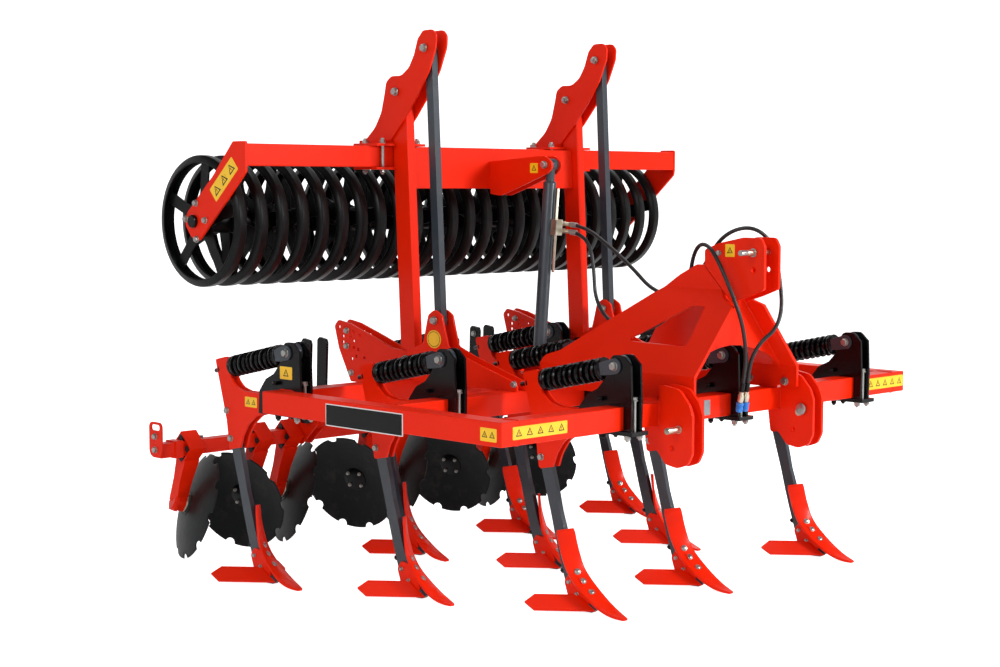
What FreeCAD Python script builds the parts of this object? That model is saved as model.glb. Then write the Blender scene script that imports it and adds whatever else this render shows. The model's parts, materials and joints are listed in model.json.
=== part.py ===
import FreeCAD, Part
import math
import os
from FreeCAD import Vector as V

# Stubble cultivator on a three-point hitch, in millimetres.
# +Z is up, the machine travels towards -Y, +X is its left side.
# The dimensions below are measured from the front face of the front beam;
# every object is then moved by -yc so that the origin is under the middle.

doc = FreeCAD.newDocument("stubble_cultivator")
sheet = doc.addObject("Spreadsheet::Sheet", "Dims")

TABLE = [
    # main frame of square tube
    ("tube", 100), ("tube_wall", 8), ("frame_half", 1442), ("beam_low", 822),
    ("mid_beam_y", 714), ("rear_beam_y", 1418), ("yc", 1182.5),
    # tine stations, x of each shank
    ("tine_a", -1303), ("tine_b", -1015), ("tine_c", -376), ("tine_d", -675), ("tine_e", -131),
    ("tine_f", 424), ("tine_g", 1238), ("tine_p", 722), ("tine_q", 60), ("tine_w", 1031),
    ("cheek_in", 25), ("cheek_t", 12), ("shank_t", 25), ("holder_t", 11.5),
    ("spring_d", 98), ("pivot_y", 47), ("pivot_z", 1092), ("spring_tail_y", 623), ("spring_tail_z", 968),
    # headstock and hitch
    ("head_t", 15), ("neck_in", 45), ("neck_t", 15), ("top_pin_d", 25.4), ("top_pin_y", -178), ("top_pin_z", 1561),
    ("low_pin_d", 28), ("low_pin_y", -112), ("low_pin_z", 816), ("hitch_in", 396), ("hitch_gap", 54), ("hitch_t", 15),
    # lift arms and links
    ("mast_x", 597), ("mast_w", 50), ("mast_d", 100), ("link_len", 1273.817), ("lean", 3.056),
    ("arm_y", 1440), ("arm_z", 1019), ("link_y", 1239), ("link_z", 1216),
    ("plate_in", 29), ("plate_t", 10), ("pin_d", 30), ("link_w", 36), ("link_d", 46),
    ("bar_low", 815), ("bar_high", 1011), ("fork_in", 28), ("fork_t", 12),
    # cylinder
    ("cyl_y", 1093), ("cyl_z", 1949), ("rod_y", 1168), ("rod_z", 985), ("barrel_d", 63), ("rod_d", 35),
    # roller
    ("roller_y", 1939), ("roller_z", 1680), ("ring_d", 610), ("ring_w", 55), ("ring_in", 556),
    ("ring_count", 25), ("roller_half", 1449), ("roller_tube_d", 114), ("stub_d", 50),
    ("rbeam_y", 1550), ("rbeam_z", 1934), ("rbeam_half", 1490),
    # disc gang
    ("gang_y", 2255), ("gang_z", 537), ("housing", 116), ("hub_off", 90), ("share_w", 80), ("share_t", 12), ("wing_w", 88), ("hose_d", 18), ("gang_tube", 70), ("disc_d", 530), ("disc_y", 2347), ("disc_z", 262),
    ("disc_t", 5), ("disc_dish", 55), ("disc_yaw", 20.6), ("disc_tilt", 17.9), ("notch_n", 10),
]
DIM = {}
for row, (alias, value) in enumerate(TABLE, 1):
    sheet.set("A%d" % row, alias)
    sheet.set("B%d" % row, str(value))
    sheet.setAlias("B%d" % row, alias)
    DIM[alias] = float(value)
doc.recompute()


def d(name):
    return DIM[name]


PARTS = []


def new_body(label, at=None, rot=None):
    """A PartDesign body, shifted by -yc through the sheet."""
    b = doc.addObject("PartDesign::Body", label)
    b.Label = label
    if hasattr(b, "AllowCompound"):
        b.AllowCompound = True
    at = at or (0, 0, 0)
    b.Placement = FreeCAD.Placement(V(*at), rot or FreeCAD.Rotation())
    b.setExpression(".Placement.Base.y", "%s - Dims.yc" % repr(float(at[1])))
    PARTS.append(b)
    return b


def role(b, name):
    for o in b.Origin.OriginFeatures:
        if o.Role == name:
            return o
    raise ValueError(name)


COUNT = [0]


def new_sketch(b, plane, off=(0, 0, 0), ex=None, ey=None, ez=None):
    """off is along the sketch's own x, y and normal."""
    COUNT[0] += 1
    sk = b.newObject("Sketcher::SketchObject", "Sk%03d" % COUNT[0])
    sk.AttachmentSupport = [(role(b, plane), "")]
    sk.MapMode = "FlatFace"
    sk.AttachmentOffset = FreeCAD.Placement(V(*off), FreeCAD.Rotation())
    for k, e in (("x", ex), ("y", ey), ("z", ez)):
        if e:
            sk.setExpression(".AttachmentOffset.Base." + k, e)
    return sk


def rounded(pts):
    """Closed outline with optional corner radii as line and arc geometry."""
    n = len(pts)
    ends = []
    for i in range(n):
        p = V(pts[i][0], pts[i][1], 0)
        r = pts[i][2] if len(pts[i]) > 2 else 0
        if not r:
            ends.append((p, p, None))
            continue
        a = V(pts[i - 1][0], pts[i - 1][1], 0)
        c = V(pts[(i + 1) % n][0], pts[(i + 1) % n][1], 0)
        u = (a - p).normalize()
        w = (c - p).normalize()
        ang = u.getAngle(w)
        t = r / math.tan(ang / 2)
        lim = 0.49 * min((a - p).Length, (c - p).Length)
        if t > lim:
            t = lim
            r = t * math.tan(ang / 2)
        s, e = p + u * t, p + w * t
        bis = (u + w).normalize()
        mid = p + bis * (r / math.sin(ang / 2) - r)
        ends.append((s, e, mid))
    geo = []
    for i in range(n):
        s, e, mid = ends[i]
        if mid is not None:
            geo.append(Part.Arc(s, mid, e))
        nxt = ends[(i + 1) % n][0]
        if (nxt - e).Length > 1e-6:
            geo.append(Part.LineSegment(e, nxt))
    return geo


def draw(sk, pts):
    sk.addGeometry(rounded(pts), False)


def circle(sk, x, y, r):
    sk.addGeometry(Part.Circle(V(x, y, 0), V(0, 0, 1), r), False)


def rect(sk, x0, y0, w, h, ew=None, eh=None):
    """Constrained rectangle from a corner; its two sizes are bound to cells."""
    i = sk.GeometryCount
    p = [V(x0, y0, 0), V(x0 + w, y0, 0), V(x0 + w, y0 + h, 0), V(x0, y0 + h, 0)]
    for k in range(4):
        sk.addGeometry(Part.LineSegment(p[k], p[(k + 1) % 4]), False)
    S = FreeCAD.activeDocument()
    import Sketcher
    C = Sketcher.Constraint
    sk.addConstraint([C("Coincident", i + k, 2, i + (k + 1) % 4, 1) for k in range(4)]
                     + [C("Horizontal", i), C("Vertical", i + 1), C("Horizontal", i + 2), C("Vertical", i + 3)])
    cw = sk.addConstraint(C("DistanceX", i, 1, i, 2, w))
    ch = sk.addConstraint(C("DistanceY", i + 1, 1, i + 1, 2, h))
    if ew:
        sk.setExpression("Constraints[%d]" % cw, ew)
    if eh:
        sk.setExpression("Constraints[%d]" % ch, eh)


def pad(b, sk, length, ex=None, rev=False):
    COUNT[0] += 1
    f = b.newObject("PartDesign::Pad", "Pad%03d" % COUNT[0])
    f.Profile = sk
    f.Length = length
    f.Reversed = rev
    f.Refine = False
    if ex:
        f.setExpression("Length", ex)
    b.Tip = f
    return f


def pocket(b, sk, length, ex=None, rev=False):
    COUNT[0] += 1
    f = b.newObject("PartDesign::Pocket", "Pocket%03d" % COUNT[0])
    f.Profile = sk
    f.Length = length
    f.Reversed = rev
    f.Refine = False
    if ex:
        f.setExpression("Length", ex)
    b.Tip = f
    return f


def slab(b, pts, x0, t, dy=0, dz=0, holes=(), ex=None, ey=None, et=None):
    """Plate in the YZ plane from x0 to x0 + t."""
    sk = new_sketch(b, "YZ_Plane", (dy, dz, x0), ex=ey, ez=ex)
    draw(sk, pts)
    for h in holes:
        circle(sk, *h)
    return pad(b, sk, t, et)


def disk(b, y, z, r, x0, t, hole=0, ex=None, ey=None, et=None, dy=0):
    """Round boss along X from x0 to x0 + t."""
    sk = new_sketch(b, "YZ_Plane", (dy, 0, x0), ex=ey, ez=ex)
    circle(sk, y, z, r)
    if hole:
        circle(sk, y, z, hole)
    return pad(b, sk, t, et)


# ---------------------------------------------------------------- main frame
T, LOW, HALF = d("tube"), d("beam_low"), d("frame_half")


def cross_beam(label, y, yexp):
    b = new_body(label)
    sk = new_sketch(b, "YZ_Plane", (y, LOW, -(HALF - T)), ex=yexp, ey="Dims.beam_low",
                    ez="-(Dims.frame_half - Dims.tube)")
    rect(sk, 0, 0, T, T, "Dims.tube", "Dims.tube")
    pad(b, sk, 2 * (HALF - T), "2 * (Dims.frame_half - Dims.tube)")
    w = d("tube_wall")
    sk = new_sketch(b, "YZ_Plane", (y + w, LOW + w, -(HALF - T)),
                    ex="Dims.tube_wall + %s" % (yexp or "0"), ey="Dims.beam_low + Dims.tube_wall",
                    ez="-(Dims.frame_half - Dims.tube)")
    rect(sk, 0, 0, T - 2 * w, T - 2 * w, "Dims.tube - 2 * Dims.tube_wall", "Dims.tube - 2 * Dims.tube_wall")
    pocket(b, sk, 2 * (HALF - T), "2 * (Dims.frame_half - Dims.tube)", rev=True)
    return b


cross_beam("beam_front", 0, "0")
cross_beam("beam_mid", d("mid_beam_y"), "Dims.mid_beam_y")
cross_beam("beam_rear", d("rear_beam_y"), "Dims.rear_beam_y")

for side, label in ((-1, "beam_side_right"), (1, "beam_side_left")):
    b = new_body(label)
    x0 = -HALF if side < 0 else HALF - T
    # the XZ plane's normal is -Y, so the pad runs from the rear end forwards
    end = d("rear_beam_y") + T
    sk = new_sketch(b, "XZ_Plane", (x0, LOW, -end), ex=("-Dims.frame_half" if side < 0 else "Dims.frame_half - Dims.tube"),
                    ey="Dims.beam_low", ez="-(Dims.rear_beam_y + Dims.tube)")
    rect(sk, 0, 0, T, T, "Dims.tube", "Dims.tube")
    pad(b, sk, end, "Dims.rear_beam_y + Dims.tube")
    w = d("tube_wall")
    sk = new_sketch(b, "XZ_Plane", (x0 + w, LOW + w, -end), ex="Dims.tube_wall + %s" % ("(-Dims.frame_half)" if side < 0 else "Dims.frame_half - Dims.tube"),
                    ey="Dims.beam_low + Dims.tube_wall", ez="-(Dims.rear_beam_y + Dims.tube)")
    rect(sk, 0, 0, T - 2 * w, T - 2 * w, "Dims.tube - 2 * Dims.tube_wall", "Dims.tube - 2 * Dims.tube_wall")
    pocket(b, sk, end - w, "Dims.rear_beam_y + Dims.tube - Dims.tube_wall", rev=True)

b = new_body("beam_centre")
sk = new_sketch(b, "XZ_Plane", (-T / 2, LOW, -d("rear_beam_y")), ex="-Dims.tube / 2", ey="Dims.beam_low", ez="-Dims.rear_beam_y")
rect(sk, 0, 0, T, T, "Dims.tube", "Dims.tube")
gap = d("rear_beam_y") - d("mid_beam_y") - T
pad(b, sk, gap, "Dims.rear_beam_y - Dims.mid_beam_y - Dims.tube")
w = d("tube_wall")
sk = new_sketch(b, "XZ_Plane", (-T / 2 + w, LOW + w, -d("rear_beam_y")), ex="-Dims.tube / 2 + Dims.tube_wall", ey="Dims.beam_low + Dims.tube_wall", ez="-Dims.rear_beam_y")
rect(sk, 0, 0, T - 2 * w, T - 2 * w, "Dims.tube - 2 * Dims.tube_wall", "Dims.tube - 2 * Dims.tube_wall")
pocket(b, sk, gap, "Dims.rear_beam_y - Dims.mid_beam_y - Dims.tube", rev=True)

# -------------------------------------------------------------------- tines
ROWS = [("tine_d", "0"), ("tine_q", "0"), ("tine_w", "0"),
        ("tine_b", "Dims.mid_beam_y"), ("tine_e", "Dims.mid_beam_y"), ("tine_p", "Dims.mid_beam_y"),
        ("tine_a", "Dims.rear_beam_y"), ("tine_c", "Dims.rear_beam_y"), ("tine_f", "Dims.rear_beam_y"), ("tine_g", "Dims.rear_beam_y")]


def row_y(e):
    return 0.0 if e == "0" else d(e.split(".")[1])


PY, PZ = d("pivot_y"), d("pivot_z")
CHEEK = [(-42, 800), (-45, 940), (-38, 1100), (8, 1141, 30), (62, 1139, 30), (92, 1098, 20), (100, 1040, 20), (146, 990, 25),
         (205, 962, 30), (252, 905, 20), (258, 800), (101, 800), (101, 923), (-1, 923), (-1, 800)]
b = new_body("tine_clamps")
for x, ye in ROWS:
    y = row_y(ye)
    for s in (-1, 1):
        x0 = d(x) + (d("cheek_in") if s > 0 else -d("cheek_in") - d("cheek_t"))
        e = "Dims.%s %s" % (x, "+ Dims.cheek_in" if s > 0 else "- Dims.cheek_in - Dims.cheek_t")
        slab(b, CHEEK, x0, d("cheek_t"), dy=y, ex=e, ey=ye, et="Dims.cheek_t")
    # saddle on the beam and clamp plate under it
    w = 2 * d("cheek_in") + 2
    slab(b, [(-1, 924), (101, 924), (101, 934), (-1, 934)], d(x) - w / 2, w, dy=y, ex="Dims.%s - %s" % (x, w / 2), ey=ye)
    slab(b, [(-62, 802), (118, 802), (118, 820), (-62, 820)], d(x) - 52, 104, dy=y, ex="Dims.%s - 52" % x, ey=ye)

HOLDER = [(604, 1024, 10), (512, 1044, 12), (500, 990, 60), (478, 935, 60), (436, 902, 60), (380, 889), (190, 889, 38), (146, 870, 30), (146, 822, 30),
          (200, 803), (300, 778, 60), (358, 735, 60), (396, 680, 60), (418, 620), (500, 604, 14), (520, 740)]
b = new_body("tine_holders")
for x, ye in ROWS:
    y = row_y(ye)
    st, ht = d("shank_t"), d("holder_t")
    for s in (-1, 1):
        x0 = d(x) + (st / 2 + 0.25 if s > 0 else -st / 2 - ht - 0.25)
        e = "Dims.%s %s" % (x, "+ Dims.shank_t / 2 + 0.25" if s > 0 else "- Dims.shank_t / 2 - Dims.holder_t - 0.25")
        slab(b, HOLDER, x0, ht, dy=y, ex=e, ey=ye, et="Dims.holder_t")

SHANK = [(436, 800), (436, 640), (430, 606), (405, 517), (384, 428), (361, 362, 60), (343, 303, 80), (330, 257, 80), (312, 211, 80), (286, 168, 80), (252, 130, 60), (215, 97, 60), (178, 70),
         (150, 34), (190, 6, 15), (250, 3, 15), (312, 50, 40), (352, 130, 60), (385, 230, 100), (412, 320, 100), (440, 424, 100), (468, 515, 100), (494, 600), (508, 700), (508, 800)]
b = new_body("tine_shanks")
for x, ye in ROWS:
    slab(b, SHANK, d(x) - d("shank_t") / 2, d("shank_t"), dy=row_y(ye), ex="Dims.%s - Dims.shank_t / 2" % x, ey=ye, et="Dims.shank_t")

# shares: a curved bar whose upper end is twisted to one side, lofted through
# stations of (y, z, side shift, twist, width)
STATION = [(344, 354, -20, 45, 74), (342, 343, -20, 44, 80), (333, 298, -16, 42, 82), (321, 254, -13, 38, 82), (305, 209, -10, 32, 82), (280, 164, -7, 26, 82),
           (244, 124, -4, 20, 84), (203, 90, -2, 14, 86), (160, 60, -1, 9, 86), (116, 35, 0, 5, 82), (62, 15, 0, 2, 64), (8, 5, 0, 0, 26)]
TWIST = {"tine_d": 1, "tine_q": 1, "tine_w": 1, "tine_f": 1, "tine_g": 1, "tine_a": -1, "tine_b": -1, "tine_c": -1, "tine_e": -1, "tine_p": -1}


def share_shape(x, y, hand):
    k = d("share_w") / 80.0
    wires = []
    n = len(STATION)
    for i, (sy, sz, dx, tw, w) in enumerate(STATION):
        p0 = STATION[max(i - 1, 0)]
        p1 = STATION[min(i + 1, n - 1)]
        t = V(0, p0[0] - p1[0], p0[1] - p1[1]).normalize()
        m = V(0, -t.z, t.y)
        a = math.radians(tw)
        wd = V(math.cos(a) * 1, m.y * math.sin(a), m.z * math.sin(a))
        nd = V(-math.sin(a), m.y * math.cos(a), m.z * math.cos(a))
        c = V(dx, sy, sz)
        th = d("share_t") / 2 if i < n - 1 else d("share_t") / 2 - 1.5
        q = [c + wd * (w * k / 2) + nd * th, c - wd * (w * k / 2) + nd * th, c - wd * (w * k / 2) - nd * th, c + wd * (w * k / 2) - nd * th]
        q = [V(x + hand * v.x, y + v.y, v.z) for v in q]
        if hand < 0:
            q = q[::-1]
        wires.append(Part.makePolygon(q + [q[0]]))
    return Part.makeLoft(wires, True, False)


shares = doc.addObject("Part::Feature", "tine_shares")
shares.Label = "tine_shares"
shape = Part.makeCompound([share_shape(d(x), row_y(ye), TWIST[x]) for x, ye in ROWS])
shape.translate(V(0, 0, -shape.optimalBoundingBox().ZMin))
shares.Shape = shape
shares.setExpression(".Placement.Base.y", "-Dims.yc")
PARTS.append(shares)

# plates that carry the wings, on both cheeks of each shank
b = new_body("wing_brackets")
WB = [(218, 98, 10), (262, 150, 20), (322, 158, 15), (348, 122, 20), (318, 40, 15), (250, 24, 15), (196, 46, 12)]
for x, ye in ROWS:
    for s in (-1, 1):
        x0 = d(x) + (d("shank_t") / 2 if s > 0 else -d("shank_t") / 2 - 8)
        e = "Dims.%s %s" % (x, "+ Dims.shank_t / 2" if s > 0 else "- Dims.shank_t / 2 - 8")
        slab(b, WB, x0, 8, dy=row_y(ye), ex=e, ey=ye)

# spring unit: head between the cheeks, coil sleeve, rod and tail nut
b = new_body("spring_units")
tail = math.degrees(math.atan2(d("pivot_z") - d("spring_tail_z"), d("spring_tail_y") - d("pivot_y")))
for x, ye in ROWS:
    y = row_y(ye)
    disk(b, PY, PZ, 44, d(x) - 23, 46, dy=y, ex="Dims.%s - 23" % x, ey=ye)
    # barrel along the spring axis, made as a slab then rounded by revolution
    COUNT[0] += 1
    sk = b.newObject("Sketcher::SketchObject", "Sk%03d" % COUNT[0])
    sk.AttachmentSupport = [(role(b, "YZ_Plane"), "")]
    sk.MapMode = "FlatFace"
    # local sketch x axis runs down the spring
    sk.AttachmentOffset = FreeCAD.Placement(V(y + PY, PZ, d(x)), FreeCAD.Rotation(V(0, 0, 1), -tail))
    sk.setExpression(".AttachmentOffset.Base.x", "%s + Dims.pivot_y" % ye)
    sk.setExpression(".AttachmentOffset.Base.y", "Dims.pivot_z")
    sk.setExpression(".AttachmentOffset.Base.z", "Dims.%s" % x)
    R = d("spring_d") / 2
    draw(sk, [(30, 0), (30, 22), (86, 22), (86, R), (448, R), (448, 11), (600, 11), (600, 0)])
    COUNT[0] += 1
    rv = b.newObject("PartDesign::Revolution", "Rev%03d" % COUNT[0])
    rv.Profile = sk
    rv.ReferenceAxis = (sk, ["H_Axis"])
    rv.Angle = 360
    rv.Refine = False
    b.Tip = rv

# wings: flat pointed bars swept back from each share
WING = []
for x, ye in ROWS:
    for s in (-1, 1):
        WING.append((x, ye, s))


def wing_shape(x, y, s):
    # hexagonal bar in its own frame: u outwards along the bar, v across it
    root = V(x + s * 24, y + 214, 50)
    tip = V(x + s * 200, y + 418, 50)
    u = (tip - root).normalize()
    flat = u.cross(V(0, 0, 1)).normalize()
    if flat.y > 0:
        flat = flat * -1
    v = (flat * math.cos(math.radians(38)) + V(0, 0, -1) * math.sin(math.radians(38))).normalize()
    L = (tip - root).Length
    w = d("wing_w") / 2
    P = lambda a, c: root + u * a + v * c
    # the root edge follows the bracket's side face
    cut = lambda c: c * (-v.x / u.x)
    pts = [P(cut(-w), -w), P(L - w, -w), P(L, 0), P(L - w, w), P(cut(w), w)]
    f = Part.Face(Part.makePolygon(pts + [pts[0]]))
    n = u.cross(v).normalize()
    if n.z > 0:
        n = n * -1
    return f.extrude(n * 10.0)


wings = doc.addObject("Part::Feature", "tine_wings")
wings.Label = "tine_wings"
wings.Shape = Part.makeCompound([wing_shape(d(x), row_y(ye), s) for x, ye, s in WING])
wings.setExpression(".Placement.Base.y", "-Dims.yc")
PARTS.append(wings)

# ---------------------------------------------------------------- headstock
# each side plate is folded twice: an upright foot, a sloping flank and an upright head beside the neck
HEAD = [(-112, 935), (-112, 1323), (-38, 1357), (98, 1500), (136, 1500, 12), (233, 1451), (372, 1359), (569, 1210), (722, 1091, 40), (797, 1066, 25), (800, 1022, 25),
        (762, 923.5), (3, 923.5), (3, 935)]
WINDOW = [(372, 1154, 8), (255, 1152, 20), (30, 1148, 25), (18, 1164, 8), (34, 1318, 10), (102, 1320, 12)]
for side, label in ((-1, "headstock_right"), (1, "headstock_left")):
    b = new_body(label)
    sk = new_sketch(b, "XZ_Plane", off=(0, 0, -830))
    draw(sk, [(side * x, z) for x, z in ((380.5, 900), (380.5, 1033), (60, 1392), (60, 1530), (45, 1530), (45, 1386.3), (365.5, 1027.3), (365.5, 900))])
    pad(b, sk, 960)
    sk = new_sketch(b, "YZ_Plane")
    draw(sk, [(-300, 800), (1000, 800), (1000, 1700), (-300, 1700)])
    draw(sk, HEAD)
    pocket(b, sk, 450, rev=(side > 0))
    sk = new_sketch(b, "YZ_Plane")
    draw(sk, WINDOW)
    pocket(b, sk, 450, rev=(side > 0))

b = new_body("toplink_plates")
NECK = [(-62, 1338), (-150, 1366), (-236, 1400, 15), (-236, 1590, 30), (-215, 1626, 25), (-119, 1626, 20), (14, 1598, 20), (92, 1568, 15), (92, 1500)]
for s in (-1, 1):
    x0 = d("neck_in") if s > 0 else -d("neck_in") - d("neck_t")
    slab(b, NECK, x0, d("neck_t"), holes=[(d("top_pin_y"), d("top_pin_z"), d("top_pin_d") / 2), (d("top_pin_y"), 1485, 13)],
         ex=("Dims.neck_in" if s > 0 else "-Dims.neck_in - Dims.neck_t"), et="Dims.neck_t")

# front web with the arch over the centre tine
b = new_body("headstock_web")
sk = new_sketch(b, "XZ_Plane", off=(0, 0, 10))
arch = [(-365, 1017), (-330, 1045), (-293, 1074), (-218, 1106), (-157, 1120), (-80, 1136), (0, 1142), (80, 1136), (157, 1120), (218, 1106), (293, 1074), (330, 1045),
        (365, 1017), (365, 1027), (56, 1373.2), (44.5, 1380), (44.5, 1425), (-44.5, 1425), (-44.5, 1380), (-56, 1373.2), (-365, 1027)]
draw(sk, arch)
pad(b, sk, 10)

for side, label in ((-1, "hitch_right"), (1, "hitch_left")):
    b = new_body(label)
    H = [(-1, 996), (-26, 999, 20), (-112, 986, 60), (-166, 925, 60), (-184, 880, 40), (-184, 715, 50), (-160, 668, 40), (-105, 648, 50), (-40, 658, 40), (0, 706, 30),
         (60, 745, 20), (60, 820), (-1, 820)]
    for k in (0, 1):
        a = d("hitch_in") + k * (d("hitch_gap") + d("hitch_t"))
        x0 = a if side > 0 else -a - d("hitch_t")
        off = "Dims.hitch_in" + (" + Dims.hitch_gap + Dims.hitch_t" if k else "")
        e = off if side > 0 else "-(%s) - Dims.hitch_t" % off
        slab(b, H, x0, d("hitch_t"), holes=[(d("low_pin_y"), d("low_pin_z"), d("low_pin_d") / 2 + 3), (-76, 731, 13)], ex=e, et="Dims.hitch_t")

b = new_body("hitch_pins")
disk(b, d("top_pin_y"), d("top_pin_z"), d("top_pin_d") / 2, -112, 196, ex="-112")
for s in (-1, 1):
    disk(b, d("low_pin_y"), d("low_pin_z"), d("low_pin_d") / 2 + 3, 384 if s > 0 else -484, 100)
    disk(b, d("low_pin_y"), d("low_pin_z"), d("low_pin_d") / 2, 484 if s > 0 else -561, 77)

# ------------------------------------------------------- lift arm mountings
FAN = [(700, 923), (700, 948, 12), (735, 968, 20), (1047, 1058), (1150, 1096, 20), (1172, 1167), (1192, 1240, 25), (1240, 1268, 30), (1285, 1240, 25), (1304, 1167), (1322, 1103, 20),
       (1440, 1058), (1540, 1066), (1672, 1111), (1850, 1166, 40), (1940, 1180, 20), (1968, 1150, 20), (1935, 1039, 60), (1846, 880, 12), (1600, 880, 20), (1522, 923)]
# rows of holes for the depth stops
FAN_HOLES = [(y, z, 9) for y, z in ((1933, 1146), (1823, 1124), (1778, 1111), (1847, 1098), (1904, 1101), (1824, 1082), (1904, 1072), (1822, 1049), (1789, 1042), (1804, 1007), (1838, 993), (1743, 1003))]
for side, label in ((-1, "arm_mount_right"), (1, "arm_mount_left")):
    b = new_body(label)
    for s in (-1, 1):
        x0 = side * d("mast_x") + (d("plate_in") if s > 0 else -d("plate_in") - d("plate_t"))
        e = "%sDims.mast_x %s" % ("-" if side < 0 else "", "+ Dims.plate_in" if s > 0 else "- Dims.plate_in - Dims.plate_t")
        holes = [(d("arm_y"), d("arm_z"), d("pin_d") / 2), (d("link_y"), d("link_z"), d("pin_d") / 2)] + FAN_HOLES
        slab(b, FAN, x0, d("plate_t"), holes=holes, ex=e, et="Dims.plate_t")

b = new_body("hinge_pins")
PINS = b
for side in (-1, 1):
    for y, z in ((d("arm_y"), d("arm_z")), (d("link_y"), d("link_z"))):
        disk(b, y, z, d("pin_d") / 2, side * d("mast_x") - 44, 88)

b = new_body("cylinder_lugs")
LUG = [(1095, 923), (1130, 985, 20), (1146, 1018, 24), (1190, 1018, 24), (1206, 985, 20), (1240, 923)]
for s in (-1, 1):
    slab(b, LUG, d("fork_in") if s > 0 else -d("fork_in") - d("fork_t"), d("fork_t"), holes=[(d("rod_y"), d("rod_z"), 15)],
         ex=("Dims.fork_in" if s > 0 else "-Dims.fork_in - Dims.fork_t"), et="Dims.fork_t")
# the lower pin stops short of the rod's eye on both sides, so the eye runs clear of it
for x0 in (-46, 25):
    disk(PINS, d("rod_y"), d("rod_z"), 15, x0, 21)

# --------------------------------------------------------------- lift arms
LEN = d("link_len")
SL, CL = LEN * math.sin(math.radians(d("lean"))), LEN * math.cos(math.radians(d("lean")))
TOP_C = (d("arm_y") + SL, d("arm_z") + CL)
TOP_D = (d("link_y") + SL, d("link_z") + CL)
lean = FreeCAD.Rotation(V(1, 0, 0), -d("lean"))
for side, label in ((-1, "mast_right"), (1, "mast_left")):
    b = new_body(label, at=(side * d("mast_x"), d("arm_y"), d("arm_z")), rot=lean)
    W = d("mast_w")
    slab(b, [(-50, -50, 30), (50, -50, 30), (50, LEN + 52, 30), (-50, LEN + 52, 30)], -W / 2, W,
         holes=[(0, 0, d("pin_d") / 2 + 0.25), (0, LEN, d("pin_d") / 2 + 0.25)], ex="-Dims.mast_w / 2", et="Dims.mast_w")
b = new_body("mast_crossbar", at=(0, d("arm_y"), d("arm_z")), rot=lean)
inner = d("mast_x") - d("mast_w") / 2
slab(b, [(-14, d("bar_low")), (46, d("bar_low")), (46, d("bar_high")), (-14, d("bar_high"))], -inner, 2 * inner,
     ex="-Dims.mast_x + Dims.mast_w / 2", et="2 * Dims.mast_x - Dims.mast_w")
b = new_body("cylinder_fork")
FORK = [(1476, 1966), (1150, 1990, 40), (1093, 1990, 40), (1052, 1960, 30), (1052, 1930, 30), (1085, 1905, 30), (1240, 1850), (1400, 1797, 60), (1468, 1806)]
for s in (-1, 1):
    slab(b, FORK, d("fork_in") if s > 0 else -d("fork_in") - d("fork_t"), d("fork_t"), holes=[(d("cyl_y"), d("cyl_z"), 15)],
         ex=("Dims.fork_in" if s > 0 else "-Dims.fork_in - Dims.fork_t"), et="Dims.fork_t")
b = new_body("fork_pin")
disk(b, d("cyl_y"), d("cyl_z"), 15, -50, 100)
b = new_body("roller_pins")
for side in (-1, 1):
    for y, z in (TOP_C, TOP_D):
        disk(b, y, z, d("pin_d") / 2, side * d("mast_x") - 46, 92)

for side, label in ((-1, "upper_link_right"), (1, "upper_link_left")):
    b = new_body(label, at=(side * d("mast_x"), d("link_y"), d("link_z")), rot=lean)
    W, D = d("link_w"), d("link_d")
    slab(b, [(-D / 2, -34, 20), (D / 2, -34, 20), (D / 2, LEN + 34, 20), (-D / 2, LEN + 34, 20)], -W / 2, W,
         holes=[(0, 0, d("pin_d") / 2 + 0.25), (0, LEN, d("pin_d") / 2 + 0.25)], ex="-Dims.link_w / 2", et="Dims.link_w")

# ------------------------------------------------------------ hydraulic ram
cl = math.hypot(d("rod_y") - d("cyl_y"), d("rod_z") - d("cyl_z"))
ca = math.degrees(math.atan2(d("rod_y") - d("cyl_y"), d("cyl_z") - d("rod_z")))
cyl_rot = FreeCAD.Rotation(V(1, 0, 0), ca)


def turned(b, pts):
    """Solid of revolution about the body's own Z axis."""
    sk = new_sketch(b, "XZ_Plane")
    draw(sk, pts)
    COUNT[0] += 1
    rv = b.newObject("PartDesign::Revolution", "Rev%03d" % COUNT[0])
    rv.Profile = sk
    rv.ReferenceAxis = (sk, ["V_Axis"])
    rv.Angle = 360
    b.Tip = rv
    return rv


b = new_body("cylinder_barrel", at=(0, d("cyl_y"), d("cyl_z")), rot=cyl_rot)
RB = d("barrel_d") / 2
turned(b, [(0, -20), (22, -20), (22, -78), (RB, -86), (RB, -895), (36, -895), (36, -915), (17.8, -915), (17.8, -230), (0, -230)])
disk(b, 0, 0, 30, -24, 48)
sk = new_sketch(b, "YZ_Plane", (0, 0, -25))
circle(sk, 0, 0, 15.05)
pocket(b, sk, 50, rev=True)
b = new_body("valve_block", at=(0, d("cyl_y"), d("cyl_z")), rot=cyl_rot)
slab(b, [(-66, -338), (-31.5, -338), (-31.5, -262), (-66, -262)], -8, 46)
for z0, ln in ((-262, 150), (-520, 182)):
    sk = new_sketch(b, "XY_Plane", (8, -50, z0))
    circle(sk, 0, 0, 7)
    pad(b, sk, ln)
for z0 in (-318, -282):
    sk = new_sketch(b, "YZ_Plane", (0, 0, 38))
    circle(sk, -50, z0, 11)
    pad(b, sk, 34)
for z0 in (-318, -282):
    sk = new_sketch(b, "XZ_Plane", (0, 0, 48))
    circle(sk, 60, z0, 9.5)
    pad(b, sk, 46.5)
b = new_body("cylinder_rod", at=(0, d("cyl_y"), d("cyl_z")), rot=cyl_rot)
turned(b, [(0, -260), (17.5, -260), (17.5, -cl + 20), (0, -cl + 20)])
disk(b, 0, -cl, 28, -24, 48)
sk = new_sketch(b, "YZ_Plane", (0, 0, -25))
circle(sk, 0, -cl, 15.05)
pocket(b, sk, 50, rev=True)

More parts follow.
